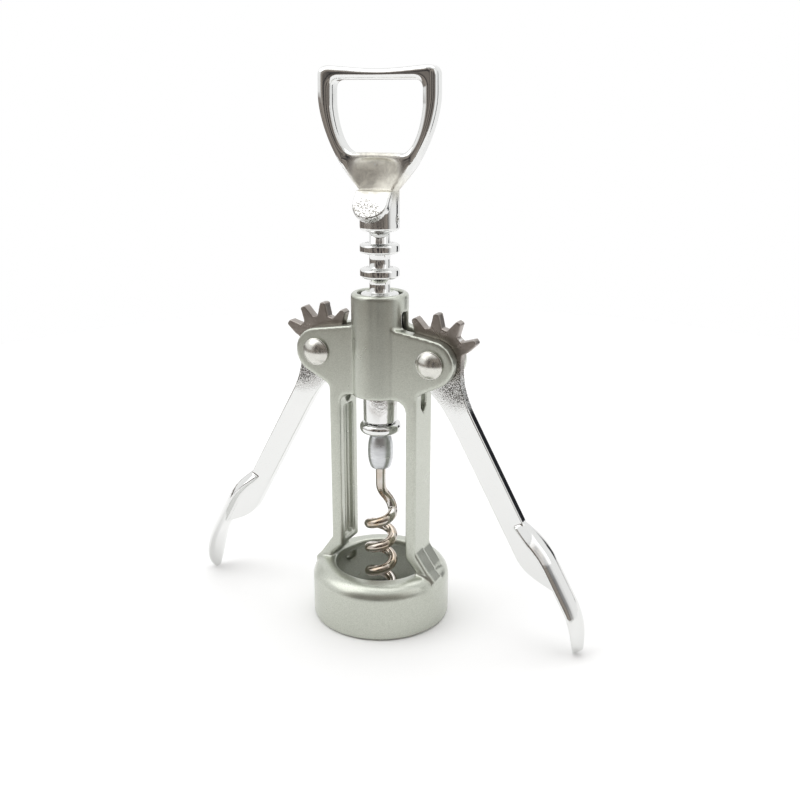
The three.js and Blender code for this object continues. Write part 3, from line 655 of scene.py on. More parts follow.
@dataclass(frozen=True)
class LacquerFinish:
    """Satin metallic lacquer over the frame's casting."""

    light: Colour = (0.59, 0.61, 0.545, 1)
    dark: Colour = (0.48, 0.5, 0.44, 1)
    bare: Colour = (0.74, 0.755, 0.7, 1)
    gloss_low: float = 0.27
    gloss_high: float = 0.34
    metallic: float = 0.9
    coat: float = 0.25
    coat_roughness: float = 0.12
    peel_depth: float = 0.00002
    flake_depth: float = 0.000004

    def material(self, effects: Effects) -> bpy.types.Material:
        """Make the material.

        Args:
            effects: the shared effects.

        Returns:
            The material.
        """
        look = Surface("satin_lacquer")
        wire = look.wire
        gloss = wire.group(effects.handling, {
            "Vector": look.coords, "Scale": 140.0, "Low": self.gloss_low, "High": self.gloss_high})
        flake = wire.group(effects.flake, {"Vector": look.coords, "Scale": 5200.0})
        rubbed = wire.group(effects.worn_edge, {"Vector": look.coords, "Scale": 500.0, "Amount": 0.55})
        body = wire.blend(flake.outputs["Shade"], self.dark, self.light)
        look.drive("Base Color", wire.blend(rubbed.outputs["Mask"], body, self.bare))
        look.drive("Roughness", gloss.outputs["Roughness"])
        look.shader.inputs["Metallic"].default_value = self.metallic
        look.shader.inputs["Coat Weight"].default_value = self.coat
        look.shader.inputs["Coat Roughness"].default_value = self.coat_roughness
        coarse = look.bump(wire.noise(look.coords, 1400.0, 2.0), self.peel_depth, 0.4)
        look.bump(flake.outputs["Shade"], self.flake_depth, 0.3, coarse)
        return look.material


@dataclass(frozen=True)
class CastZone:
    """A round zone of a casting that the polishing wheel doesn't reach, in metres."""

    centre: Vector
    near: float
    far: float


@dataclass(frozen=True)
class ChromeFinish:
    """Bright plating over a casting that is only polished where a wheel reaches."""

    name: str
    pitted: CastZone
    dull: CastZone
    tint: Colour = (0.77, 0.775, 0.765, 1)
    pit_tint: Colour = (0.09, 0.085, 0.075, 1)
    dull_tint: Colour = (0.4, 0.365, 0.335, 1)
    dull_shade: Colour = (0.3, 0.27, 0.245, 1)
    gloss_low: float = 0.05
    gloss_high: float = 0.12
    dull_roughness: float = 0.2
    grain_scale: float = 2600.0
    grain_share: float = 1.0
    grain_depth: float = 0.00012
    patch_scale: float = 160.0
    wave_scale: float = 130.0
    wave_depth: float = 0.0002
    dimple_scale: float = 1500.0
    dimple_depth: float = 0.0001

    def material(self, effects: Effects) -> bpy.types.Material:
        """Make the material.

        Args:
            effects: the shared effects.

        Returns:
            The material.
        """
        look = Surface(self.name)
        wire = look.wire
        pitted = self._zone(look, effects, self.pitted)
        dull = self._zone(look, effects, self.dull)
        grain = wire.group(effects.grain, {
            "Vector": look.coords, "Scale": self.grain_scale,
            "Mask": wire.maths("MULTIPLY", pitted, self.grain_share)})
        gloss = wire.group(effects.handling, {
            "Vector": look.coords, "Scale": self.patch_scale,
            "Low": self.gloss_low, "High": self.gloss_high})
        rubbed = wire.group(effects.worn_edge, {"Vector": look.coords, "Scale": 900.0, "Amount": 1.4})
        rough = wire.maths("MULTIPLY_ADD", dull, self.dull_roughness, gloss.outputs["Roughness"])
        patches = wire.spread(gloss.outputs["Patches"], 0.4, 0.62)
        skin = wire.blend(dull, self.tint, wire.blend(patches, self.dull_tint, self.dull_shade))
        speckled = wire.blend(grain.outputs["Pits"], skin, self.pit_tint)
        look.drive("Base Color", wire.blend(rubbed.outputs["Mask"], speckled, self.tint))
        look.drive("Roughness", rough)
        look.shader.inputs["Metallic"].default_value = 1.0
        under = look.bump(wire.noise(look.coords, self.wave_scale, 1.0), self.wave_depth, 0.3)
        dimples = wire.maths("MULTIPLY", dull, wire.noise(look.coords, self.dimple_scale, 3.0))
        middle = look.bump(dimples, self.dimple_depth, 0.6, under)
        look.bump(grain.outputs["Height"], self.grain_depth, 0.8, middle)
        return look.material

    @staticmethod
    def _zone(look: Surface, effects: Effects, zone: CastZone) -> bpy.types.NodeSocket:
        """Place the mask of one zone.

        Args:
            look: the material.
            effects: the shared effects.
            zone: where the mask shows.

        Returns:
            The mask.
        """
        moved = look.wire.node("ShaderNodeMapping", {"Vector": look.coords, "Location": -zone.centre})
        near = look.wire.group(effects.nearness, {
            "Vector": moved.outputs[0], "Near": zone.near, "Far": zone.far})
        return near.outputs["Mask"]


@dataclass(frozen=True)
class PolishedFinish:
    """Plain plated or polished metal with uneven gloss."""

    name: str
    tint: Colour
    second_tint: Colour
    gloss_low: float
    gloss_high: float
    patch_scale: float = 200.0
    relief_scale: float = 900.0
    relief: float = 0.00001
    stretch: Vector = field(default_factory=lambda: Vector((1, 1, 1)))

    def material(self, effects: Effects) -> bpy.types.Material:
        """Make the material.

        Args:
            effects: the shared effects.

        Returns:
            The material.
        """
        look = Surface(self.name)
        wire = look.wire
        grown = wire.node("ShaderNodeMapping", {"Vector": look.coords, "Scale": self.stretch})
        gloss = wire.group(effects.handling, {
            "Vector": grown.outputs[0], "Scale": self.patch_scale,
            "Low": self.gloss_low, "High": self.gloss_high})
        rubbed = wire.group(effects.worn_edge, {"Vector": look.coords, "Scale": 600.0, "Amount": 0.6})
        patches = wire.spread(gloss.outputs["Patches"], 0.38, 0.66)
        shade = wire.blend(patches, self.tint, self.second_tint)
        look.drive("Base Color", wire.blend(rubbed.outputs["Mask"], shade, self.tint))
        look.drive("Roughness", gloss.outputs["Roughness"])
        look.shader.inputs["Metallic"].default_value = 1.0
        look.bump(wire.noise(grown.outputs[0], self.relief_scale, 3.0), self.relief, 0.5)
        return look.material


# ---- frame ---------------------------------------------------------------------------------------


@dataclass
class Frame:
    """Painted casting: bell ring, two legs with flared feet, guide barrel and ears."""

    ring_height: float = 16.6
    shoulder: float = 4.5
    wall: float = 4.6
    lip_thickness: float = 2.6
    lip_width: float = 2.5
    ring_edge: float = 0.8
    mouth_chamfer: float = 0.4
    depth: float = 11.26
    leg_outer: float = 14.07
    leg_width: float = 3.3
    leg_web: float = 1.2
    leg_flange: float = 2.8
    foot_height: float = 6.3
    foot_flare: float = 3.6
    foot_land: float = 0.9
    window_fillet: float = 3.3
    barrel_radius: float = 8.32
    barrel_bore: float = 6.5
    barrel_length: float = 30.3
    barrel_rim: float = 1.0
    ear_radius: float = 6.9
    ear_slope: float = 9.2
    ear_undercut: float = 66.0
    ear_fillet: float = 2.5
    slot_half: float = 1.75
    slot_point: float = 1.7
    slot_crest: float = 13.3
    slot_sink: float = 0.2
    sector_room: float = 14.7
    panel_proud: float = 0.45
    panel_inset: float = 0.35
    rib_width: float = 1.3
    rib_proud: float = 0.9
    notch_half: float = 1.8
    notch_low: float = 9.2
    notch_high: float = 13.1
    notch_point: float = 1.1
    notch_depth: float = 2.0
    notch_turn: float = 63.0
    skin: float = 0.413
    passes: int = 2

    def __post_init__(self) -> None:
        """Read the places that other pieces share."""
        centre, size = centre_and_size("frame")
        pivot, rivet_size = centre_and_size("right_rivet")
        self.ring_radius = size.y / 2
        self.top = centre.z + size.z / 2
        self.barrel_bottom = self.top - self.barrel_length
        self.pivot = (pivot.x, pivot.z)

    def _ring(self) -> Blank:
        """Build the bell ring that stands on the bottle."""
        bore = self.ring_radius - self.wall
        mouth = bore - self.lip_width
        edge, top = self.ring_edge, self.ring_height
        profile = [
            (bore + self.mouth_chamfer, 0), *arc((self.ring_radius - edge, edge), edge, -90, 0, 5),
            *arc((self.ring_radius - self.shoulder, top - self.shoulder), self.shoulder, 0, 90, 14),
            *arc((mouth + edge, top - edge), edge, 90, 180, 5),
            (mouth, top - self.lip_thickness), (bore, top - self.lip_thickness),
            (bore, self.mouth_chamfer),
        ]
        return Blank.turned(profile, 128)

    def _half_outline(self) -> list[Point]:
        """Work out half the X-Z outline of ears, legs and feet, window's top first."""
        inner = self.leg_outer - self.leg_width
        foot_bottom = self.ring_height - self.lip_thickness + 0.4
        foot_top = self.ring_height + self.foot_height
        flare_outer = self.leg_outer + self.foot_flare
        flare_inner = inner + self.foot_flare
        sunk = self.ring_radius - 0.22 * self.shoulder - 1
        reach = math.radians(self.ear_undercut)
        pivot_x, pivot_z = self.pivot
        tangent = (pivot_x + self.ear_radius * math.cos(reach), pivot_z - self.ear_radius * math.sin(reach))
        corner = tangent[1] - (tangent[0] - self.leg_outer) / math.tan(reach)
        slope = math.radians(self.ear_slope)
        top_x = pivot_x + self.ear_radius * math.sin(slope)
        top_z = pivot_z + self.ear_radius * math.cos(slope)
        leg, fillet = self.leg_outer, self.ear_fillet
        return [
            *arc((inner - self.window_fillet, self.barrel_bottom - self.window_fillet),
                 self.window_fillet, 90, 0, 8),
            (inner, foot_top - 2 * self.foot_land), (flare_inner, self.ring_height + self.foot_land),
            (flare_inner, foot_bottom), (sunk, foot_bottom), (flare_outer, self.ring_height + 1),
            (leg, foot_top),
            *curve((leg, corner - fillet), (leg, corner - 0.3 * fillet),
                   (leg + 0.1 * fillet, corner - 0.1 * fillet),
                    (leg + 0.5 * fillet, corner + 0.1 * fillet), 5),
            *arc(self.pivot, self.ear_radius, -self.ear_undercut, 90 - self.ear_slope, 24),
            (0, top_z + top_x * math.tan(slope)),
        ]

    def _barrel(self) -> Blank:
        """Build the guide barrel."""
        rim = arc((self.barrel_radius - self.barrel_rim, self.top - self.barrel_rim),
                  self.barrel_rim, 0, 90, 6)
        return Blank.turned([(0, self.barrel_bottom), (self.barrel_radius, self.barrel_bottom),
                             *rim, (0, self.top)])

    def _slot(self, side: int) -> Blank:
        """Build the room for one lever, with a pointed lower end.

        Args:
            side: 1 for the right, -1 for the left.

        Returns:
            The cutter.
        """
        pivot_x, pivot_z = self.pivot
        reach = math.sqrt(self.sector_room ** 2 - (pivot_x - self.leg_outer) ** 2)
        bottom = pivot_z - reach - self.slot_sink
        top = pivot_z + self.slot_crest
        half = self.slot_half
        outline = [(-half, top), (-half, bottom), (0, bottom - self.slot_point),
                   (half, bottom), (half, top)]
        length = pivot_x + self.ear_radius + 10
        cutter = Blank.plate(outline, length, length / 2)
        return cutter.placed(Matrix.Rotation(-side * math.pi / 2, 4, "Z"))

    def _channel(self, side: int) -> Blank:
        """Build the hollow on the inner side of one leg.

        Args:
            side: 1 for the right, -1 for the left.

        Returns:
            The cutter.
        """
        inner = side * (self.leg_outer - self.leg_width - 1)
        outer = side * (self.leg_outer - self.leg_web)
        bottom = self.ring_height + self.foot_height - 0.4
        top = self.barrel_bottom - self.window_fillet - 1
        outline = [(inner, bottom), (outer, bottom + 1.0), (outer, top - 1.0), (inner, top)]
        hollow = Blank.plate(outline, self.depth - 2 * self.leg_flange)
        crest = outer - side * self.rib_proud
        rib = [(crest, bottom - 1), (outer + side, bottom - 1), (outer + side, top + 1), (crest, top + 1)]
        return hollow.worked(Join.CUT, Blank.plate(rib, self.rib_width))

    def _foot_panel(self, side: int) -> Blank:
        """Build the raised front half of one foot's incline.

        Args:
            side: 1 for the right, -1 for the left.

        Returns:
            The panel.
        """
        proud = self.panel_proud
        top = self.ring_height + self.foot_height
        flare = self.leg_outer + self.foot_flare
        edge = self.ring_radius - 0.1 * self.shoulder
        low = self.ring_height - self.lip_thickness + 0.2
        outline = [(self.leg_outer - 1, top), (self.leg_outer + proud * 0.8, top + 0.2),
                   (flare + proud, self.ring_height + 1.2), (edge, low + 0.8),
                   (edge - 0.3, low), (flare - 1, low)]
        half = self.depth / 2 - self.panel_inset
        return Blank.plate([(side * x, z) for x, z in outline], half, -half / 2)

    def _notch(self) -> Blank:
        """Build the small arrow-ended recess in the ring's inner wall."""
        half, high = self.notch_half, self.notch_high
        base = self.notch_low + self.notch_point
        outline = [(-half, base), (0, self.notch_low), (half, base), (half, high), (-half, high)]
        cutter = Blank.plate(outline, 2 * self.notch_depth, self.ring_radius - self.wall)
        return cutter.placed(Matrix.Rotation(math.radians(self.notch_turn), 4, "Z"))

    def build(self, effects: Effects) -> bpy.types.Object:
        """Build and dress the frame.

        Args:
            effects: the shared effects.

        Returns:
            The piece.
        """
        half = self._half_outline()
        body = Blank.plate([*half, *mirrored(half)[1:]], self.depth)
        body.worked(Join.ADD, self._barrel())
        body.worked(Join.ADD, self._ring())
        low, high = Vector((0, 0, self.barrel_bottom - 5)), Vector((0, 0, self.top + 1))
        body.worked(Join.CUT, Blank.rod(self.barrel_bore, low, high, 96))
        for side in (1, -1):
            body.worked(Join.CUT, self._slot(side))
            body.worked(Join.CUT, self._channel(side))
            body.worked(Join.ADD, self._foot_panel(side))
        body.worked(Join.CUT, self._notch())
        body.cast(self.skin, self.passes)
        return body.finished("frame_casting", "frame", ["frame"], Slot.PAINT,
                             LacquerFinish().material(effects))


@dataclass
class Rivets:
    """The two domed pivot rivets."""

    shank: float = 2.3
    head: float = 4.1
    head_height: float = 1.9
    land: float = 0.3
    undercut: float = 0.12
    rim_share: float = 4.0

    def _solid(self, side: int, node: str) -> Blank:
        """Turn one rivet and lay it across the frame.

        Args:
            side: 1 for the right, -1 for the left; not used.
            node: the CAD node that gives its place.

        Returns:
            The rivet.
        """
        centre, size = centre_and_size(node)
        seat = size.y / 2 - self.head_height
        bulge = (self.head ** 2 + self.head_height ** 2) / (2 * self.head_height)
        opening = math.degrees(math.asin(self.head / bulge))
        dome = arc((0, seat + self.head_height - bulge), bulge, 90, 90 - opening + self.rim_share, 16)
        rim = [(self.head, seat + self.land), (self.head - self.undercut, seat)]
        upper = [(max(0.0, r), z) for r, z in dome] + rim + [(self.shank, seat)]
        lower = [(r, -z) for r, z in reversed(upper)]
        upper[0] = (0.0, upper[0][1])
        lower[-1] = (0.0, lower[-1][1])
        turned = Blank.turned(upper + lower, 64)
        place = Matrix.Translation(centre) @ Matrix.Rotation(math.pi / 2, 4, "X")
        return turned.placed(place)

    def build(self, effects: Effects) -> None:
        """Build and dress both rivets.

        Args:
            effects: the shared effects.
        """
        finish = PolishedFinish("rivet_nickel", (0.72, 0.715, 0.67, 1), (0.58, 0.575, 0.53, 1), 0.2, 0.32)
        material = finish.material(effects)
        for side, node in ((1, "right_rivet"), (-1, "left_rivet")):
            self._solid(side, node).finished(f"{node}_dome", "frame", [node], Slot.NICKEL, material)


# ---- levers --------------------------------------------------------------------------------------


@dataclass
class Lever:
    """One plated casting: gear sector, flat bar and crescent thumb pad.

    Its outlines lie in its own plane: X runs from the pivot to the tip, Z outwards.
    """

    side: int
    thickness: float = 3.2
    rest_angle: float = 29.0
    inner_edge: float = 4.1
    outer_edge: float = 2.7
    pad_tip: float = 93.3
    pad_length: float = 41.0
    web_length: float = 32.5
    web_run: float = 14.0
    web_fall: float = 6.8
    neck_length: float = 20.0
    neck_power: float = 2.7
    pad_width: float = 10.0
    pad_thickness: float = 3.4
    pad_crown: float = 2.4
    pad_flat: float = 0.55
    pad_lip: float = 0.6
    pad_start: float = 0.55
    pad_round: float = 8.0
    pad_blunt: float = 0.28
    pad_root: float = 1.4
    pad_swell: float = 3.5
    swell_length: float = 13.0
    hook: float = 4.6
    hook_length: float = 15.0
    hook_power: float = 2.2
    tooth_count: int = 7
    engaged: int = 5
    tooth_turn: float = 30.0
    tip_radius: float = 13.8
    root_radius: float = 9.9
    tooth_tip: float = 1.8
    tooth_root: float = 3.4
    tooth_edge: float = 0.5
    tooth_sink: float = 2.0
    bar_start: float = 6.0
    hole: float = 2.5
    skin: float = 0.2
    passes: int = 4

    def __post_init__(self) -> None:
        """Name the lever and find its pivot."""
        self.node = "right_lever" if self.side > 0 else "left_lever"
        centre, _ = centre_and_size("right_rivet" if self.side > 0 else "left_rivet")
        self.pivot = centre
        self.first_tooth = 270 - self.rest_angle - self.engaged * self.tooth_turn

    def _place(self) -> Matrix:
        """Work out how the lever's own plane lies at rest."""
        turn = Matrix.Rotation(math.radians(90 - self.rest_angle), 4, "Y")
        around = Matrix.Rotation(0 if self.side > 0 else math.pi, 4, "Z")
        return Matrix.Translation(self.pivot) @ around @ turn

    def _tooth(self, angle: float) -> Blank:
        """Build one tooth.

        Args:
            angle: its direction in the lever's plane, in degrees from X towards Z.

        Returns:
            The tooth.
        """
        tip, root, edge = self.tooth_tip / 2, self.tooth_root / 2, self.tooth_edge
        corner = (self.tip_radius - edge, tip - edge)
        flank = [(self.root_radius - self.tooth_sink, root), (self.root_radius + 0.3, root - 0.05)]
        upper = [*flank, *reversed(arc(corner, edge, 0, 75, 5))]
        outline = upper + [(x, -z) for x, z in reversed(upper)]
        return Blank.plate(outline, self.thickness).placed(Matrix.Rotation(-math.radians(angle), 4, "Y"))

    def _neck(self, edge: float, root: Point, side: int) -> list[Point]:
        """Work out one side of the neck, from the bar's edge up to the sector's root.

        Args:
            edge: distance of the bar's edge from the lever's line.
            root: where the sector's root circle begins or ends.
            side: 1 for the outer side, -1 for the inner one.

        Returns:
            The points, bar first.
        """
        steps = 14
        points = []
        for i in range(steps):
            share = i / steps
            along = self.neck_length + (root[0] - self.neck_length) * share
            swell = (abs(root[1]) - edge) * share ** self.neck_power
            points.append((along, side * (edge + swell)))
        return points

    def _sector(self) -> Blank:
        """Build the round hub behind the teeth, with the neck that joins it to the bar."""
        last = self.first_tooth + (self.tooth_count - 1) * self.tooth_turn
        root = arc((0, 0), self.root_radius, self.first_tooth, last, 40)
        inner = self._neck(self.inner_edge, root[-1], -1)
        return Blank.plate([*self._neck(self.outer_edge, root[0], 1), *root, *reversed(inner)],
                           self.thickness)

    def _pad_line(self, along: float) -> float:
        """Give the height of the pad's middle line at a distance from the pivot."""
        risen = min(1.0, max(0.0, (along - self.pad_tip + self.pad_length) / self.swell_length))
        bent = max(0.0, along - self.pad_tip + self.hook_length) / self.hook_length
        swell = self.pad_swell * math.sin(risen * math.pi / 2)
        return self.pad_root + swell - self.hook * bent ** self.hook_power

    def _bar(self) -> Blank:
        """Build the flat bar and the web that carries the pad."""
        start = self.pad_tip - self.web_length
        end = start + self.web_run
        edge, sunk = -self.inner_edge, 0.4
        web = curve((start, edge), (start + 0.4 * self.web_run, edge),
                    (start + 0.6 * self.web_run, edge + 0.4 * self.web_fall), (end, edge + self.web_fall))
        return Blank.plate([
            (self.bar_start, edge), (start, edge), *web,
            (end, self._pad_line(end) + sunk), (start, self._pad_line(start) + sunk),
            (self.pad_tip - self.pad_length + 2, self.outer_edge),
            (self.bar_start, self.outer_edge)], self.thickness)

    def _pad(self) -> Blank:
        """Lead the pad's crowned section along its line, narrowing to a blunt start and a round tip."""
        half = self.pad_width / 2
        crown = self.pad_thickness / 2
        edge = crown - self.pad_crown
        across = [half * (1 - i / 6) for i in range(13)]
        top = [(y, crown - self.pad_crown * (y / half) ** 2) for y in across]
        flat, low = self.pad_flat * half, edge - self.pad_lip
        section = [(-flat, -crown), (flat, -crown), (half, low), *top, (-half, low)]
        start = self.pad_tip - self.pad_length
        stations = []
        steps = 44
        for i in range(steps + 1):
            along = start + self.pad_length * i / steps
            begun = math.sin(min(1.0, (along - start) / self.pad_round) * math.pi / 2)
            opening = self.pad_start + (1 - self.pad_start) * begun
            nearing = max(0.0, 1 - (self.pad_tip - along) / self.pad_round)
            closing = max(self.pad_blunt, math.sqrt(max(0.0, 1 - nearing ** 2)))
            stations.append((along, self._pad_line(along), opening * closing))
        return Blank.swept(section, stations)

    def build(self, effects: Effects, solid: Blank) -> bpy.types.Object:
        """Place and dress a lever.

        Args:
            effects: the shared effects.
            solid: the casting in the lever's own plane.

        Returns:
            The piece.
        """
        neck = self._place() @ Vector((8, 0, 4)) * MM
        teeth = self.pivot * MM + Vector((0, 0, 0.0075))
        finish = ChromeFinish(f"{self.node}_chrome", CastZone(neck, 0.0045, 0.012),
                              CastZone(teeth, 0.0115, 0.015))
        return solid.placed(self._place()).finished(
            f"{self.node}_casting", self.node, [self.node], Slot.CHROME, finish.material(effects))

    def casting(self) -> Blank:
        """Build the casting in the lever's own plane."""
        body = self._sector()
        body.worked(Join.ADD, self._bar())
        body.worked(Join.ADD, self._pad())
        for index in range(self.tooth_count):
            body.worked(Join.ADD, self._tooth(self.first_tooth + index * self.tooth_turn))
        half = Vector((0, self.thickness, 0))
        body.worked(Join.CUT, Blank.rod(self.hole, -half, half))
        return body.cast(self.skin, self.passes)


# ---- spindle -------------------------------------------------------------------------------------


@dataclass
class Spindle:
    """The rack spindle with its stop ring, ferrule and cross pin, all turned parts."""

    ring_radius: float = 5.6
    ring_thickness: float = 2.6
    ring_edge: float = 0.7
    ring_fillet: float = 0.3
    core: float = 2.93
    first_ring: float = 78.51
    pitch: float = 6.948
    guide_radius: float = 5.05
    guide_top: float = 72.3
    guide_edge: float = 0.6
    held_by_handle: float = 9.0
    stub: float = 3.2
    bore_gap: float = 0.3
    stop_round: float = 1.4
    ferrule_bore: float = 1.8
    ferrule_end: float = 2.9
    ferrule_power: float = 2.6
    ferrule_edge: float = 0.25
    pin_radius: float = 0.75
    pin_edge: float = 0.2
    pin_turn: float = 6.0

    def _rack(self) -> Blank:
        """Turn the spindle."""
        centre, size = centre_and_size("rack_spindle")
        bottom, top = centre.z - size.z / 2, centre.z + size.z / 2
        stop, stop_size = centre_and_size("stop_ring")
        shelf = stop.z + stop_size.z / 2 + self.bore_gap
        half, edge, fillet = self.ring_thickness / 2, self.ring_edge, self.ring_fillet
        side = self.guide_radius - self.guide_edge
        profile = [(0, bottom), (self.stub, bottom), (self.stub, shelf),
                   *arc((side, shelf + self.guide_edge), self.guide_edge, -90, 0, 4),
                   *arc((side, self.guide_top - self.guide_edge), self.guide_edge, 0, 90, 4),
                   (self.core, self.guide_top)]
        count = 1 + int((top - self.held_by_handle - self.first_ring) / self.pitch)
        outer = self.ring_radius - edge
        for index in range(count):
            z = self.first_ring + index * self.pitch
            profile += [(self.core, z - half - fillet), (self.core + fillet, z - half),
                        *arc((outer, z - half + edge), edge, -90, 0, 5),
                        *arc((outer, z + half - edge), edge, 0, 90, 5),
                        (self.core + fillet, z + half), (self.core, z + half + fillet)]
        profile += [(self.core, top), (0, top)]
        return Blank.turned(profile, 96)

    def _stop(self) -> Blank:
        """Turn the stop ring."""
        centre, size = centre_and_size("stop_ring")
        bottom, top = centre.z - size.z / 2, centre.z + size.z / 2
        bore, edge = self.stub + self.bore_gap, self.stop_round
        side = size.x / 2 - edge
        return Blank.turned([(bore, bottom), *arc((side, bottom + edge), edge, -90, 0, 8),
                             *arc((side, top - edge), edge, 0, 90, 8), (bore, top)])

    def _ferrule(self) -> Blank:
        """Turn the ferrule, which swells in the middle and has small rounded ends."""
        centre, size = centre_and_size("worm_ferrule")
        steps = 20
        profile = [(self.ferrule_bore, centre.z - size.z / 2)]
        for i in range(steps + 1):
            along = 2 * i / steps - 1
            swell = 1 - abs(along) ** self.ferrule_power
            radius = self.ferrule_end + (size.x / 2 - self.ferrule_end) * swell
            profile.append((radius, centre.z + along * size.z / 2))
        profile.append((self.ferrule_bore, centre.z + size.z / 2))
        return Blank.turned(profile, 64).rounded(self.ferrule_edge, 2, 50)

    def _pin(self) -> Blank:
        """Build the cross pin with rounded ends."""
        centre, size = centre_and_size("handle_pin")
        turn = math.radians(self.pin_turn)
        half = Matrix.Rotation(turn, 4, "Z") @ Vector((size.x / 2 / math.cos(turn), 0, 0))
        return Blank.rod(self.pin_radius, centre - half, centre + half, 24).rounded(self.pin_edge, 3, 50)

    def build(self, effects: Effects) -> None:
        """Build and dress the turned parts.

        Args:
            effects: the shared effects.
        """
        guide = Vector((0.004, -0.004, self.guide_top * MM - 0.004))
        zone = CastZone(guide, 0.002, 0.007)
        chrome = ChromeFinish("spindle_chrome", zone, zone, grain_share=0.35, dull_roughness=0.05,
                              dull_tint=(0.8, 0.8, 0.79, 1)).material(effects)
        nickel = PolishedFinish("pin_nickel", (0.72, 0.715, 0.69, 1), (0.55, 0.54, 0.5, 1), 0.2, 0.34)
        satin = PolishedFinish("ferrule_satin", (0.7, 0.715, 0.73, 1), (0.6, 0.615, 0.63, 1), 0.26, 0.38,
                               patch_scale=260.0, relief_scale=2600.0, relief=0.00003,
                               stretch=Vector((1, 1, 6)))
        self._rack().finished("rack_spindle_turned", "spindle", ["rack_spindle"], Slot.CHROME, chrome)
        self._stop().finished("stop_ring_turned", "slider", ["stop_ring"], Slot.CHROME, chrome)
        self._ferrule().finished("worm_ferrule_turned", "spindle", ["worm_ferrule"], Slot.SATIN,
                                 satin.material(effects))
        self._pin().finished("handle_cross_pin", "spindle", ["handle_pin"], Slot.NICKEL,
                             nickel.material(effects))


@dataclass
class Worm:
    """Right-handed wire screw with a straight shank and a sharpened end."""

    wire: float = 1.5
    radius: float = 3.65
    pitch: float = 8.1
    start: float = 36.0
    bend_turn: float = 80.0
    helix_top: float = 32.9
    shank_bottom: float = 43.0
    tip: float = 4.6
    point_length: float = 9.0
    point_power: float = 0.62
    point_blunt: float = 0.06
    point_tuck: float = 0.55
    sides: int = 10
    per_turn: int = 40

    def _path(self) -> list[tuple[Vector, float]]:
        """Work out the wire's centre line from the top down, each point with its radius."""
        _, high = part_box("worm")
        turns = (self.helix_top - self.tip) / self.pitch
        bend = self.bend_turn / 360
        path = [(Vector((0, 0, high.z / MM)), self.wire),
                (Vector((0, 0, self.shank_bottom + 2)), self.wire)]
        steps = int(self.per_turn * (turns + bend))
        length = 2 * math.pi * self.radius * turns
        for i in range(steps + 1):
            turn = -bend + (turns + bend) * i / steps
            if turn < 0:
                t = 1 + turn / bend
                spread = t * t * t * (t * (6 * t - 15) + 10)
                z = self.helix_top - turn / bend * (self.shank_bottom - self.helix_top)
            else:
                spread = 1.0
                z = self.helix_top - turn * self.pitch
            left = max(0.0, (turns - turn) / turns) * length
            thinned = (left / self.point_length) ** self.point_power + self.point_blunt
            share = min(1.0, thinned) if turn > 0 else 1.0
            angle = math.radians(self.start) - turn * 2 * math.pi
            reach = self.radius * spread - self.wire * (1 - share) * self.point_tuck
            path.append((Vector((reach * math.cos(angle), reach * math.sin(angle), z)), self.wire * share))
        return path

    def build(self, effects: Effects) -> None:
        """Build and dress the worm.

        Args:
            effects: the shared effects.
        """
        data = bpy.data.curves.new("worm_line", "CURVE")
        data.dimensions = "3D"
        data.bevel_depth = 1.0
        data.bevel_resolution = self.sides
        data.use_fill_caps = True
        data.twist_mode = "MINIMUM"
        path = self._path()
        line = data.splines.new("POLY")
        line.points.add(len(path) - 1)
        for point, (place, radius) in zip(line.points, path):
            point.co = (*place, 1)
            point.radius = radius
        item = bpy.data.objects.new("worm_line", data)
        bpy.context.scene.collection.objects.link(item)
        wire = Blank()
        wire.take(item)
        finish = PolishedFinish("worm_steel", (0.6, 0.58, 0.55, 1), (0.46, 0.36, 0.26, 1), 0.06, 0.13,
                                patch_scale=150.0, relief=0.00002)
        wire.settled().finished("worm_wire", "spindle", ["worm"], Slot.STEEL, finish.material(effects))


# ---- handle --------------------------------------------------------------------------------------


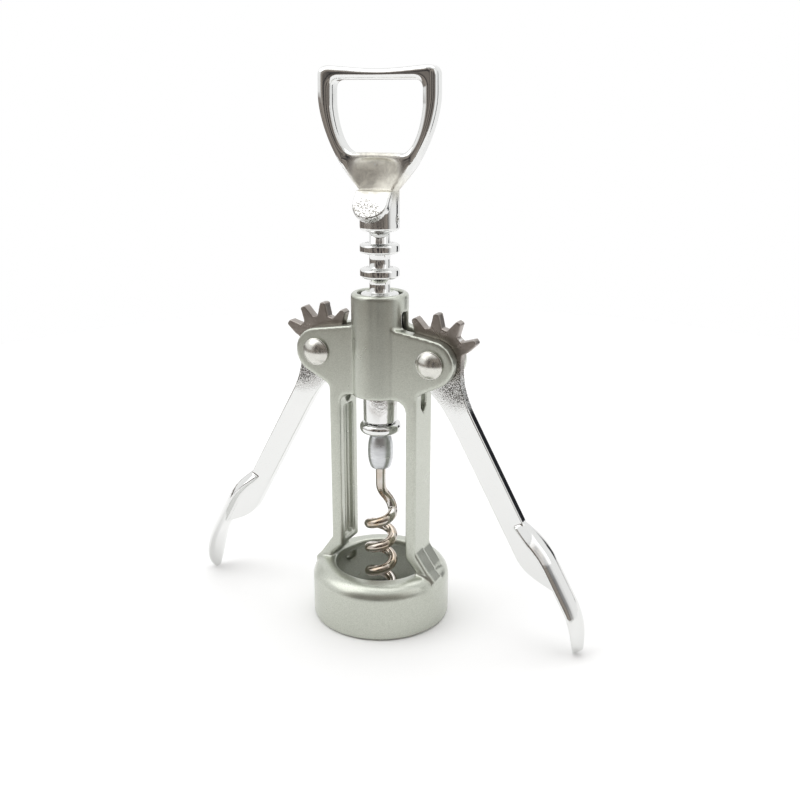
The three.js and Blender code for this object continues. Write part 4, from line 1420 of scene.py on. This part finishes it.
@dataclass
class Handle:
    """Plated cap lifter: collar, dished web, opener tongue and an open rounded head."""

    turn: float = 6.0
    collar_radius: float = 5.57
    collar_bottom: float = 118.1
    collar_length: float = 11.3
    collar_chamfer: float = 0.8
    half_width: float = 17.2
    depth: float = 6.4
    bar: float = 3.7
    arm: float = 4.2
    saddle: float = 0.9
    widest: float = 7.0
    corner: float = 3.0
    neck_inset: float = 0.3
    neck_sink: float = 6.0
    opening_base: float = 0.55
    opening_corner: float = 2.5
    web_height: float = 9.9
    web_lip: float = 1.6
    web_dish: float = 2.1
    dish_inset: float = 1.3
    dish_flare: float = 4.6
    bowl: float = 13.0
    facet: float = 1.45
    tongue_radius: float = 5.2
    tongue_length: float = 8.8
    tongue_thickness: float = 2.8
    tongue_root: float = 4.9
    tongue_tilt: float = 40.0
    tongue_edge: float = 0.35
    pin_bore: float = 1.05
    shaft_bore: float = 3.23
    shaft_depth: float = 8.0
    barrel_room: float = 8.62
    barrel_room_top: float = 123.6
    skin: float = 0.24
    passes: int = 3

    def __post_init__(self) -> None:
        """Find the heights."""
        _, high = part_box("handle")
        self.head_bottom = self.collar_bottom + self.collar_length
        self.head_top = high.z / MM
        self.web_top = self.head_bottom + self.web_height

    def _half_head(self) -> list[Point]:
        """Work out half the head's outline, neck first."""
        half, neck = self.half_width, self.collar_radius - self.neck_inset
        base, top, corner = self.head_bottom, self.head_top, self.corner
        wide, low = top - self.widest, top - self.saddle
        return [
            (neck, base - self.neck_sink), (neck, base),
            *curve((neck, base), (0.64 * half, base + 5), (half, wide - 9), (half, wide), 20),
            *curve((half, top - corner), (half, top - 1), (half - 1, top), (half - corner, top), 6),
            *curve((half - corner, top), (half * 0.55, top - 0.3), (half * 0.3, low), (0, low), 8),
        ]

    def _opening(self) -> Blank:
        """Build the cutter for the opening."""
        inner, top, low = self.half_width - self.arm, self.head_top - self.bar, self.web_top
        flat, corner = self.opening_base * inner, self.opening_corner
        half = [
            (0, low), (flat, low),
            *curve((flat, low), (0.8 * inner, low + 0.3), (0.97 * inner, low + 7),
                   (inner, self.head_top - self.widest - 3), 16),
            *curve((inner, top - corner), (inner, top - 0.8), (inner - 0.8, top), (inner - corner, top), 6),
            (0, top),
        ]
        return Blank.plate([*half, *mirrored(half)[1:-1]], 3 * self.depth)

    def _dish(self, face: int) -> Blank:
        """Build the cutter for the recess on one face of the web.

        Args:
            face: 1 for the rear, -1 for the front.

        Returns:
            The cutter.
        """
        bottom, top = self.head_bottom - 0.6, self.web_top - self.web_lip
        narrow = self.collar_radius - self.dish_inset
        wide = narrow + self.dish_flare
        side = (wide, top - 0.8)
        half = [(0, bottom), (narrow, bottom),
                *curve((narrow, bottom), (narrow + 1.4, bottom + 2), (wide - 1.2, top - 3.4), side, 8),
                *curve(side, (wide * 0.67, top - 0.1), (wide * 0.33, top + 0.3), (0, top + 0.3), 6)]
        cutter = Blank.plate([*half, *mirrored(half)[1:-1]], 2 * self.web_dish, face * self.depth / 2)
        cutter.rounded(self.web_dish - 0.1, 6, 60)
        ball = Blank.turned([(0, -self.bowl), *arc((0, 0), self.bowl, -88, 88, 44), (0, self.bowl)])
        ball.placed(Matrix.Translation((0, face * (self.depth / 2 + self.bowl - self.web_dish),
                                        self.head_bottom + 0.55 * self.web_height)))
        return cutter.worked(Join.SHARE, ball)

    def _tongue(self) -> Blank:
        """Build the opener tongue, a lip that slopes outwards to a round end, clear of the barrel."""
        above, reach = 4.0, 20.0
        straight = self.tongue_length - self.tongue_radius
        edge = [(self.tongue_radius, above), *arc((0, -straight), self.tongue_radius, 0, -180, 28),
                (-self.tongue_radius, above)]
        slab = Blank.plate(edge, self.tongue_thickness, self.tongue_thickness / 2)
        slab.rounded(self.tongue_edge, 2, 60)
        slab.placed(Matrix.Translation((0, -self.tongue_root, self.head_bottom))
                    @ Matrix.Rotation(-math.radians(self.tongue_tilt), 4, "X"))
        low = self.head_bottom
        roof = [(-reach, low), (reach, low), (reach, low + reach), (-reach, low + reach)]
        slab.worked(Join.CUT, Blank.plate(roof, 40))
        return slab.worked(Join.CUT, Blank.rod(self.barrel_room, Vector((0, 0, self.collar_bottom)),
                                               Vector((0, 0, self.barrel_room_top)), 96))

    def build(self, effects: Effects) -> bpy.types.Object:
        """Build and dress the handle.

        Args:
            effects: the shared effects.

        Returns:
            The piece.
        """
        half = self._half_head()
        body = Blank.plate([*half, *mirrored(half)[1:]], self.depth)
        body.worked(Join.CUT, self._opening())
        body.rounded(self.facet, 2, 60)
        for face in (1, -1):
            body.worked(Join.CUT, self._dish(face))
        base, radius = self.collar_bottom, self.collar_radius
        edge, top = self.collar_chamfer, self.head_bottom
        collar = Blank.turned([(0, base), (radius - edge, base), (radius, base + edge),
                               (radius, top - edge), (radius - edge, top), (0, top)])
        body.worked(Join.ADD, collar)
        body.worked(Join.ADD, self._tongue())
        pin, _ = centre_and_size("handle_pin")
        across = Vector((radius + 2, 0, 0))
        shaft = [Vector((0, 0, base + z)) for z in (-1, self.shaft_depth)]
        body.worked(Join.CUT, Blank.rod(self.pin_bore, pin - across, pin + across, 32))
        body.worked(Join.CUT, Blank.rod(self.shaft_bore, *shaft))
        body.cast(self.skin, self.passes)
        side = self.collar_radius + 4.5
        body.softened(Vector((-side, -self.depth, self.head_bottom + 0.6)),
                      Vector((side, self.depth, self.web_top - 0.5)), 50)
        body.placed(Matrix.Rotation(math.radians(self.turn), 4, "Z"))
        web = CastZone(Vector((0, 0, top + 0.4 * self.web_height)) * MM, 0.0065, 0.0105)
        tongue = CastZone(Vector((0, -9.5, top - 5.5)) * MM, 0.0035, 0.0085)
        finish = ChromeFinish("handle_chrome", tongue, web, grain_share=0.95, grain_scale=2200.0,
                              dull_tint=(0.9, 0.885, 0.81, 1), dull_shade=(0.66, 0.645, 0.59, 1),
                              dull_roughness=0.46, patch_scale=330.0, pit_tint=(0.2, 0.19, 0.17, 1))
        return body.finished("handle_casting", "spindle", ["handle"], Slot.CHROME, finish.material(effects))


# ---- studio --------------------------------------------------------------------------------------


@dataclass(frozen=True)
class Lamp:
    """A soft square lamp: its place and edge in metres, its power in watts."""

    name: str
    place: Vector
    size: float
    power: float


@dataclass
class Studio:
    """Pale floor, soft lights, surroundings that the chrome reflects, and the camera."""

    eye: Vector = field(default_factory=lambda: Vector((0.12122, -0.24046, 0.15303)))
    forward: Vector = field(default_factory=lambda: Vector((-0.411, 0.861, -0.300)))
    lens: float = 42.91
    sensor: float = 36.0
    roll: float = 0.11
    front_spread: Point = (0.25, 0.7)
    front_top: Point = (0.85, 0.6)
    left_spread: Point = (0.35, 0.1)
    left_top: Point = (0.02, -0.04)
    door: Vector = field(default_factory=lambda: Vector((0.473, 0.861, 0)))
    door_spread: Point = (0.982, 0.992)
    door_top: Point = (0.34, 0.26)
    floor_radius: float = 0.36
    floor_middle: Vector = field(default_factory=lambda: Vector((-0.03, 0.09, 0)))
    floor_gap: float = 0.0001
    paper: Colour = (0.97, 0.97, 0.97, 1)
    paper_shade: Colour = (0.95, 0.95, 0.95, 1)
    wall: Colour = (1.0, 1.0, 1.0, 1)
    dark_stripe: Colour = (0.02, 0.02, 0.024, 1)
    pale_stripe: Colour = (0.34, 0.3, 0.265, 1)
    lamps: tuple[Lamp, ...] = (
        Lamp("key_lamp", Vector((-0.5, -0.35, 0.75)), 0.8, 2.1),
        Lamp("fill_lamp", Vector((0.75, -0.1, 0.5)), 0.6, 0.6),
        Lamp("top_lamp", Vector((0.0, 0.2, 1.0)), 0.8, 2.0),
    )
    lit_point: Vector = field(default_factory=lambda: Vector((0, 0, 0.08)))

    def _floor(self) -> None:
        """Lay the floor."""
        shape = bmesh.new()
        bmesh.ops.create_circle(shape, cap_ends=True, segments=96, radius=self.floor_radius)
        data = bpy.data.meshes.new("studio_floor")
        shape.to_mesh(data)
        shape.free()
        under = Vector((0, 0, CAD_BOX[0][2] - self.floor_gap))
        data.transform(Matrix.Translation(self.floor_middle + under))
        look = Surface("floor_paper")
        mottle = look.wire.noise(look.coords, 40.0, 2.0)
        look.drive("Base Color", look.wire.blend(mottle, self.paper_shade, self.paper))
        look.shader.inputs["Roughness"].default_value = 0.9
        data.materials.append(look.material)
        floor = bpy.data.objects.new("studio_floor", data)
        bpy.context.scene.collection.objects.link(floor)

    def _hang(self, lamp: Lamp) -> None:
        """Hang a lamp that shines at the object's middle.

        Args:
            lamp: the lamp.
        """
        data = bpy.data.lights.new(lamp.name, "AREA")
        data.size = lamp.size
        data.energy = lamp.power
        item = bpy.data.objects.new(lamp.name, data)
        item.location = lamp.place
        item.rotation_euler = (self.lit_point - lamp.place).to_track_quat("-Z", "Y").to_euler()
        bpy.context.scene.collection.objects.link(item)

    @staticmethod
    def _along(wire: Wiring, direction: bpy.types.NodeSocket, axis: Vector) -> bpy.types.NodeSocket:
        """Measure how far a direction points along an axis."""
        return wire.node("ShaderNodeVectorMath", {0: direction, 1: axis},
                         operation="DOT_PRODUCT").outputs["Value"]

    @staticmethod
    def _shut(wire: Wiring, turned: bpy.types.NodeSocket, height: bpy.types.NodeSocket,
              across: Point, upward: Point) -> bpy.types.NodeSocket:
        """Mask a side of the room up to some height.

        Args:
            wire: the world's wiring.
            turned: how far a direction points at that side.
            height: how far it points up.
            across: the first value's limits, clear and full.
            upward: the second value's limits, clear and full.

        Returns:
            The mask.
        """
        return wire.maths("MULTIPLY", wire.spread(turned, *across, "SMOOTHSTEP"),
                          wire.spread(height, *upward, "SMOOTHSTEP"))

    def _surroundings(self) -> None:
        """Paint the room: bright above and behind, darker in front, and a dark doorway at the rear."""
        world = bpy.data.worlds.new("studio_room")
        world.use_nodes = True
        bpy.context.scene.world = world
        tree = world.node_tree
        wire = Wiring(tree)
        background = tree.nodes["Background"]
        direction = tree.nodes.new("ShaderNodeTexCoord").outputs["Generated"]
        split = wire.node("ShaderNodeSeparateXYZ", {0: direction})
        toward = Vector((-self.forward.x, -self.forward.y, 0)).normalized()
        rightward = Vector((-toward.y, toward.x, 0))
        level = wire.node("ShaderNodeVectorMath", {0: direction, 1: Vector((1, 1, 0))},
                          operation="MULTIPLY")
        around = wire.node("ShaderNodeVectorMath", {0: level.outputs[0]},
                           operation="NORMALIZE").outputs[0]
        height = split.outputs["Z"]
        at_door = self._along(wire, around, self.door.normalized())
        front = self._shut(wire, self._along(wire, around, toward), height,
                           self.front_spread, self.front_top)
        left = self._shut(wire, self._along(wire, around, rightward), height,
                          self.left_spread, self.left_top)
        door = self._shut(wire, at_door, height, self.door_spread, self.door_top)
        shut = wire.maths("MAXIMUM", wire.maths("MAXIMUM", front, left), door)
        drawn = wire.node("ShaderNodeMapping", {"Vector": direction, "Scale": Vector((5.0, 5.0, 0.3))})
        clutter = wire.noise(drawn.outputs[0], 1.6, 4.0)
        doorway = wire.spread(at_door, *self.door_spread, "SMOOTHSTEP")
        stripes = wire.spread(wire.maths("MULTIPLY_ADD", doorway, -0.3, clutter), 0.36, 0.58)
        dim = wire.blend(stripes, self.dark_stripe, self.pale_stripe)
        room = wire.blend(shut, self.wall, dim)
        seen = tree.nodes.new("ShaderNodeLightPath").outputs["Is Camera Ray"]
        tree.links.new(wire.blend(seen, room, self.wall), background.inputs["Color"])
        background.inputs["Strength"].default_value = 1.0

    def _camera(self) -> None:
        """Set up the camera."""
        data = bpy.data.cameras.new("studio_camera")
        data.lens = self.lens
        data.sensor_width = self.sensor
        camera = bpy.data.objects.new("studio_camera", data)
        turn = self.forward.to_track_quat("-Z", "Y").to_matrix().to_4x4()
        camera.matrix_world = Matrix.Translation(self.eye) @ turn @ Matrix.Rotation(
            math.radians(self.roll), 4, "Z")
        bpy.context.scene.collection.objects.link(camera)
        bpy.context.scene.camera = camera

    def build(self) -> None:
        """Set up the whole studio."""
        self._floor()
        self._surroundings()
        for lamp in self.lamps:
            self._hang(lamp)
        self._camera()
        view = bpy.context.scene.view_settings
        view.view_transform = "Standard"
        view.look = "None"
        log.info("studio: floor, surroundings, %d lamps and camera", len(self.lamps))


# ---- assembly ------------------------------------------------------------------------------------


def main() -> None:
    """Build every piece in order."""
    logging.basicConfig(level=logging.INFO, format="%(message)s")
    effects = Effects()
    Frame().build(effects)
    Rivets().build(effects)
    right, left = Lever(side=1), Lever(side=-1)
    casting = right.casting()
    left.build(effects, casting.copy())
    right.build(effects, casting)
    Spindle().build(effects)
    Worm().build(effects)
    Handle().build(effects)
    Studio().build()


if __name__ == "__main__":
    main()
